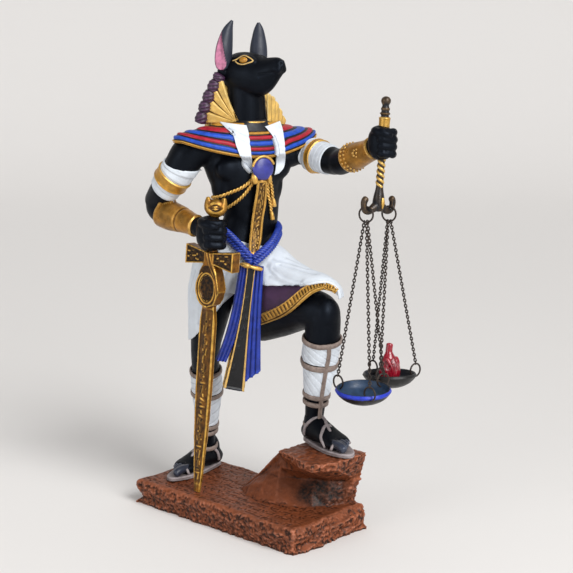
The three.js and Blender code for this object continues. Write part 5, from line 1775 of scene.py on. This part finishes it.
collar_paint = paint("painted collar", (16, 18, 26), BLACK_WASH_AND_SHADE, 0.95, rough=0.44, mottle=0.15, patch=5, grain=0.18,
                     reach=0.06, gloss=0.35, pattern=stripe_pattern(COLLAR_BANDS, wobble=0.004))
cloth_gold = paint("headcloth gold", (230, 188, 98), (52, 26, 6), 0.95, (252, 228, 164), 0.5, rough=0.42,
                   metal=0.15, mottle=0.16, patch=4, grain=0.25, reach=0.06)
APRON_RIM = (222, 178, 96)
apron_paint = paint("apron middle", (15, 15, 17), (6, 6, 8), 0.7, (64, 70, 82), 0.45, rough=0.44, patch=3,
                    grain=0.3, gloss=0.3,
                    pattern=stripe_pattern([(0, 0.11, APRON_RIM), (0.89, 1, APRON_RIM)], across="x", wobble=0.004))
collar_shape = collar()
piece("lappets", lappets(tree_of(collar_shape, body)), white_paint)
piece("collar", collar_shape, collar_paint)
piece("neck_ring", loop_tube(bmesh.new(), [Vector((0.4 + 11.6 * math.cos(t) * 0.98, 20.4 + 11.4 * math.sin(t), 224.6))
                                           for t in [2 * math.pi * k / 64 for k in range(64)]], 0.75), gold_paint)
piece("near_headcloth_fan", near_fan(), cloth_gold)
piece("far_headcloth_fan", far_fan(), cloth_gold)
piece("headcloth_back", cloth_back(), cloth_gold)
piece("side_braid", braid(), braid_paint)
piece("breast_disc", breast_disc(), disc_paint)
piece("breast_arc", breast_arc(), gold_paint)
piece("body_cords", body_cords(), gold_paint)
piece("belly_strip", breast_strip(), gold_paint)
kilt_shape, under_shape = kilt(), underskirt()
under_tree = tree_of(under_shape, kilt_shape)
under_shape = cut_below(under_shape, [(-40, 112)] + HEM + [(60, 137.6)], cap=False)
piece("kilt_fringe", fringe(under_tree), gold_paint)
piece("kilt_edge", white_hem(under_tree), white_paint)
piece("white_kilt", kilt_shape, white_paint)
piece("underskirt", under_shape, purple_paint)
piece("belt_cords", belt(), blue_paint)
piece("belt_clasp", clasp(), gold_paint)
piece("apron_left", blue_panel([(16.6, 147), (13.8, 131), (10.8, 118), (7, 105), (2.6, 93)],
                               [(21.6, 146), (19.4, 131), (16.8, 116), (13, 103), (8, 92)], 3, 1.6), blue_paint)
piece("apron_right", blue_panel([(23.6, 147), (22.2, 131), (21, 115), (19.6, 98), (18.2, 80)],
                                [(29.8, 145), (28.8, 131), (28, 115), (27.8, 101), (27.8, 86)], 3, 1.6), blue_paint)
piece("apron_middle", apron_middle(), apron_paint)

piece("body_skin", body, skin_paint, stands_for=("figure",))
piece("arm_bandages", bandages(), wrap_paint)
piece("armlets", armlets(), gold_paint)
piece("bracers", bracers(), bracer_paint)
piece("leg_wraps", leg_wraps(), wrap_paint)
piece("leg_straps", leg_straps(), strap_paint)
piece("carved_sword", sword(), sword_paint, ("sword",))
piece("staff_core", staff(), staff_paint, ("scale_staff",))
piece("staff_gold", staff_gold(), staff_gold_paint)
for name in ("front", "rear"):
    piece(f"{name}_chains", hanging(name), wire_paint, [f"{name}_chain_{k}" for k in (1, 2, 3)])
    piece(f"{name}_rim_rings", pan_rings(name), wire_paint, [f"{name}_pan_ring_{k}" for k in (1, 2, 3)])
    piece(f"{name}_top_ring", hanger_ring(name), wire_paint, (f"{name}_hanger_ring",))
piece("front_scale_pan", pan("front", 4), front_pan_paint, ("front_pan",))
piece("rear_scale_pan", pan("rear", -4), rear_pan_paint, ("rear_pan",))
piece("heart_figure", heart(), heart_paint, ("heart",))
piece("rock_base", base(), rock_paint, ("base",))

set_camera()
set_light()
set_floor()
sizes = {"cad": [list(v) for v in (cad_low, cad_high)], "visual": [list(v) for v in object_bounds()]}
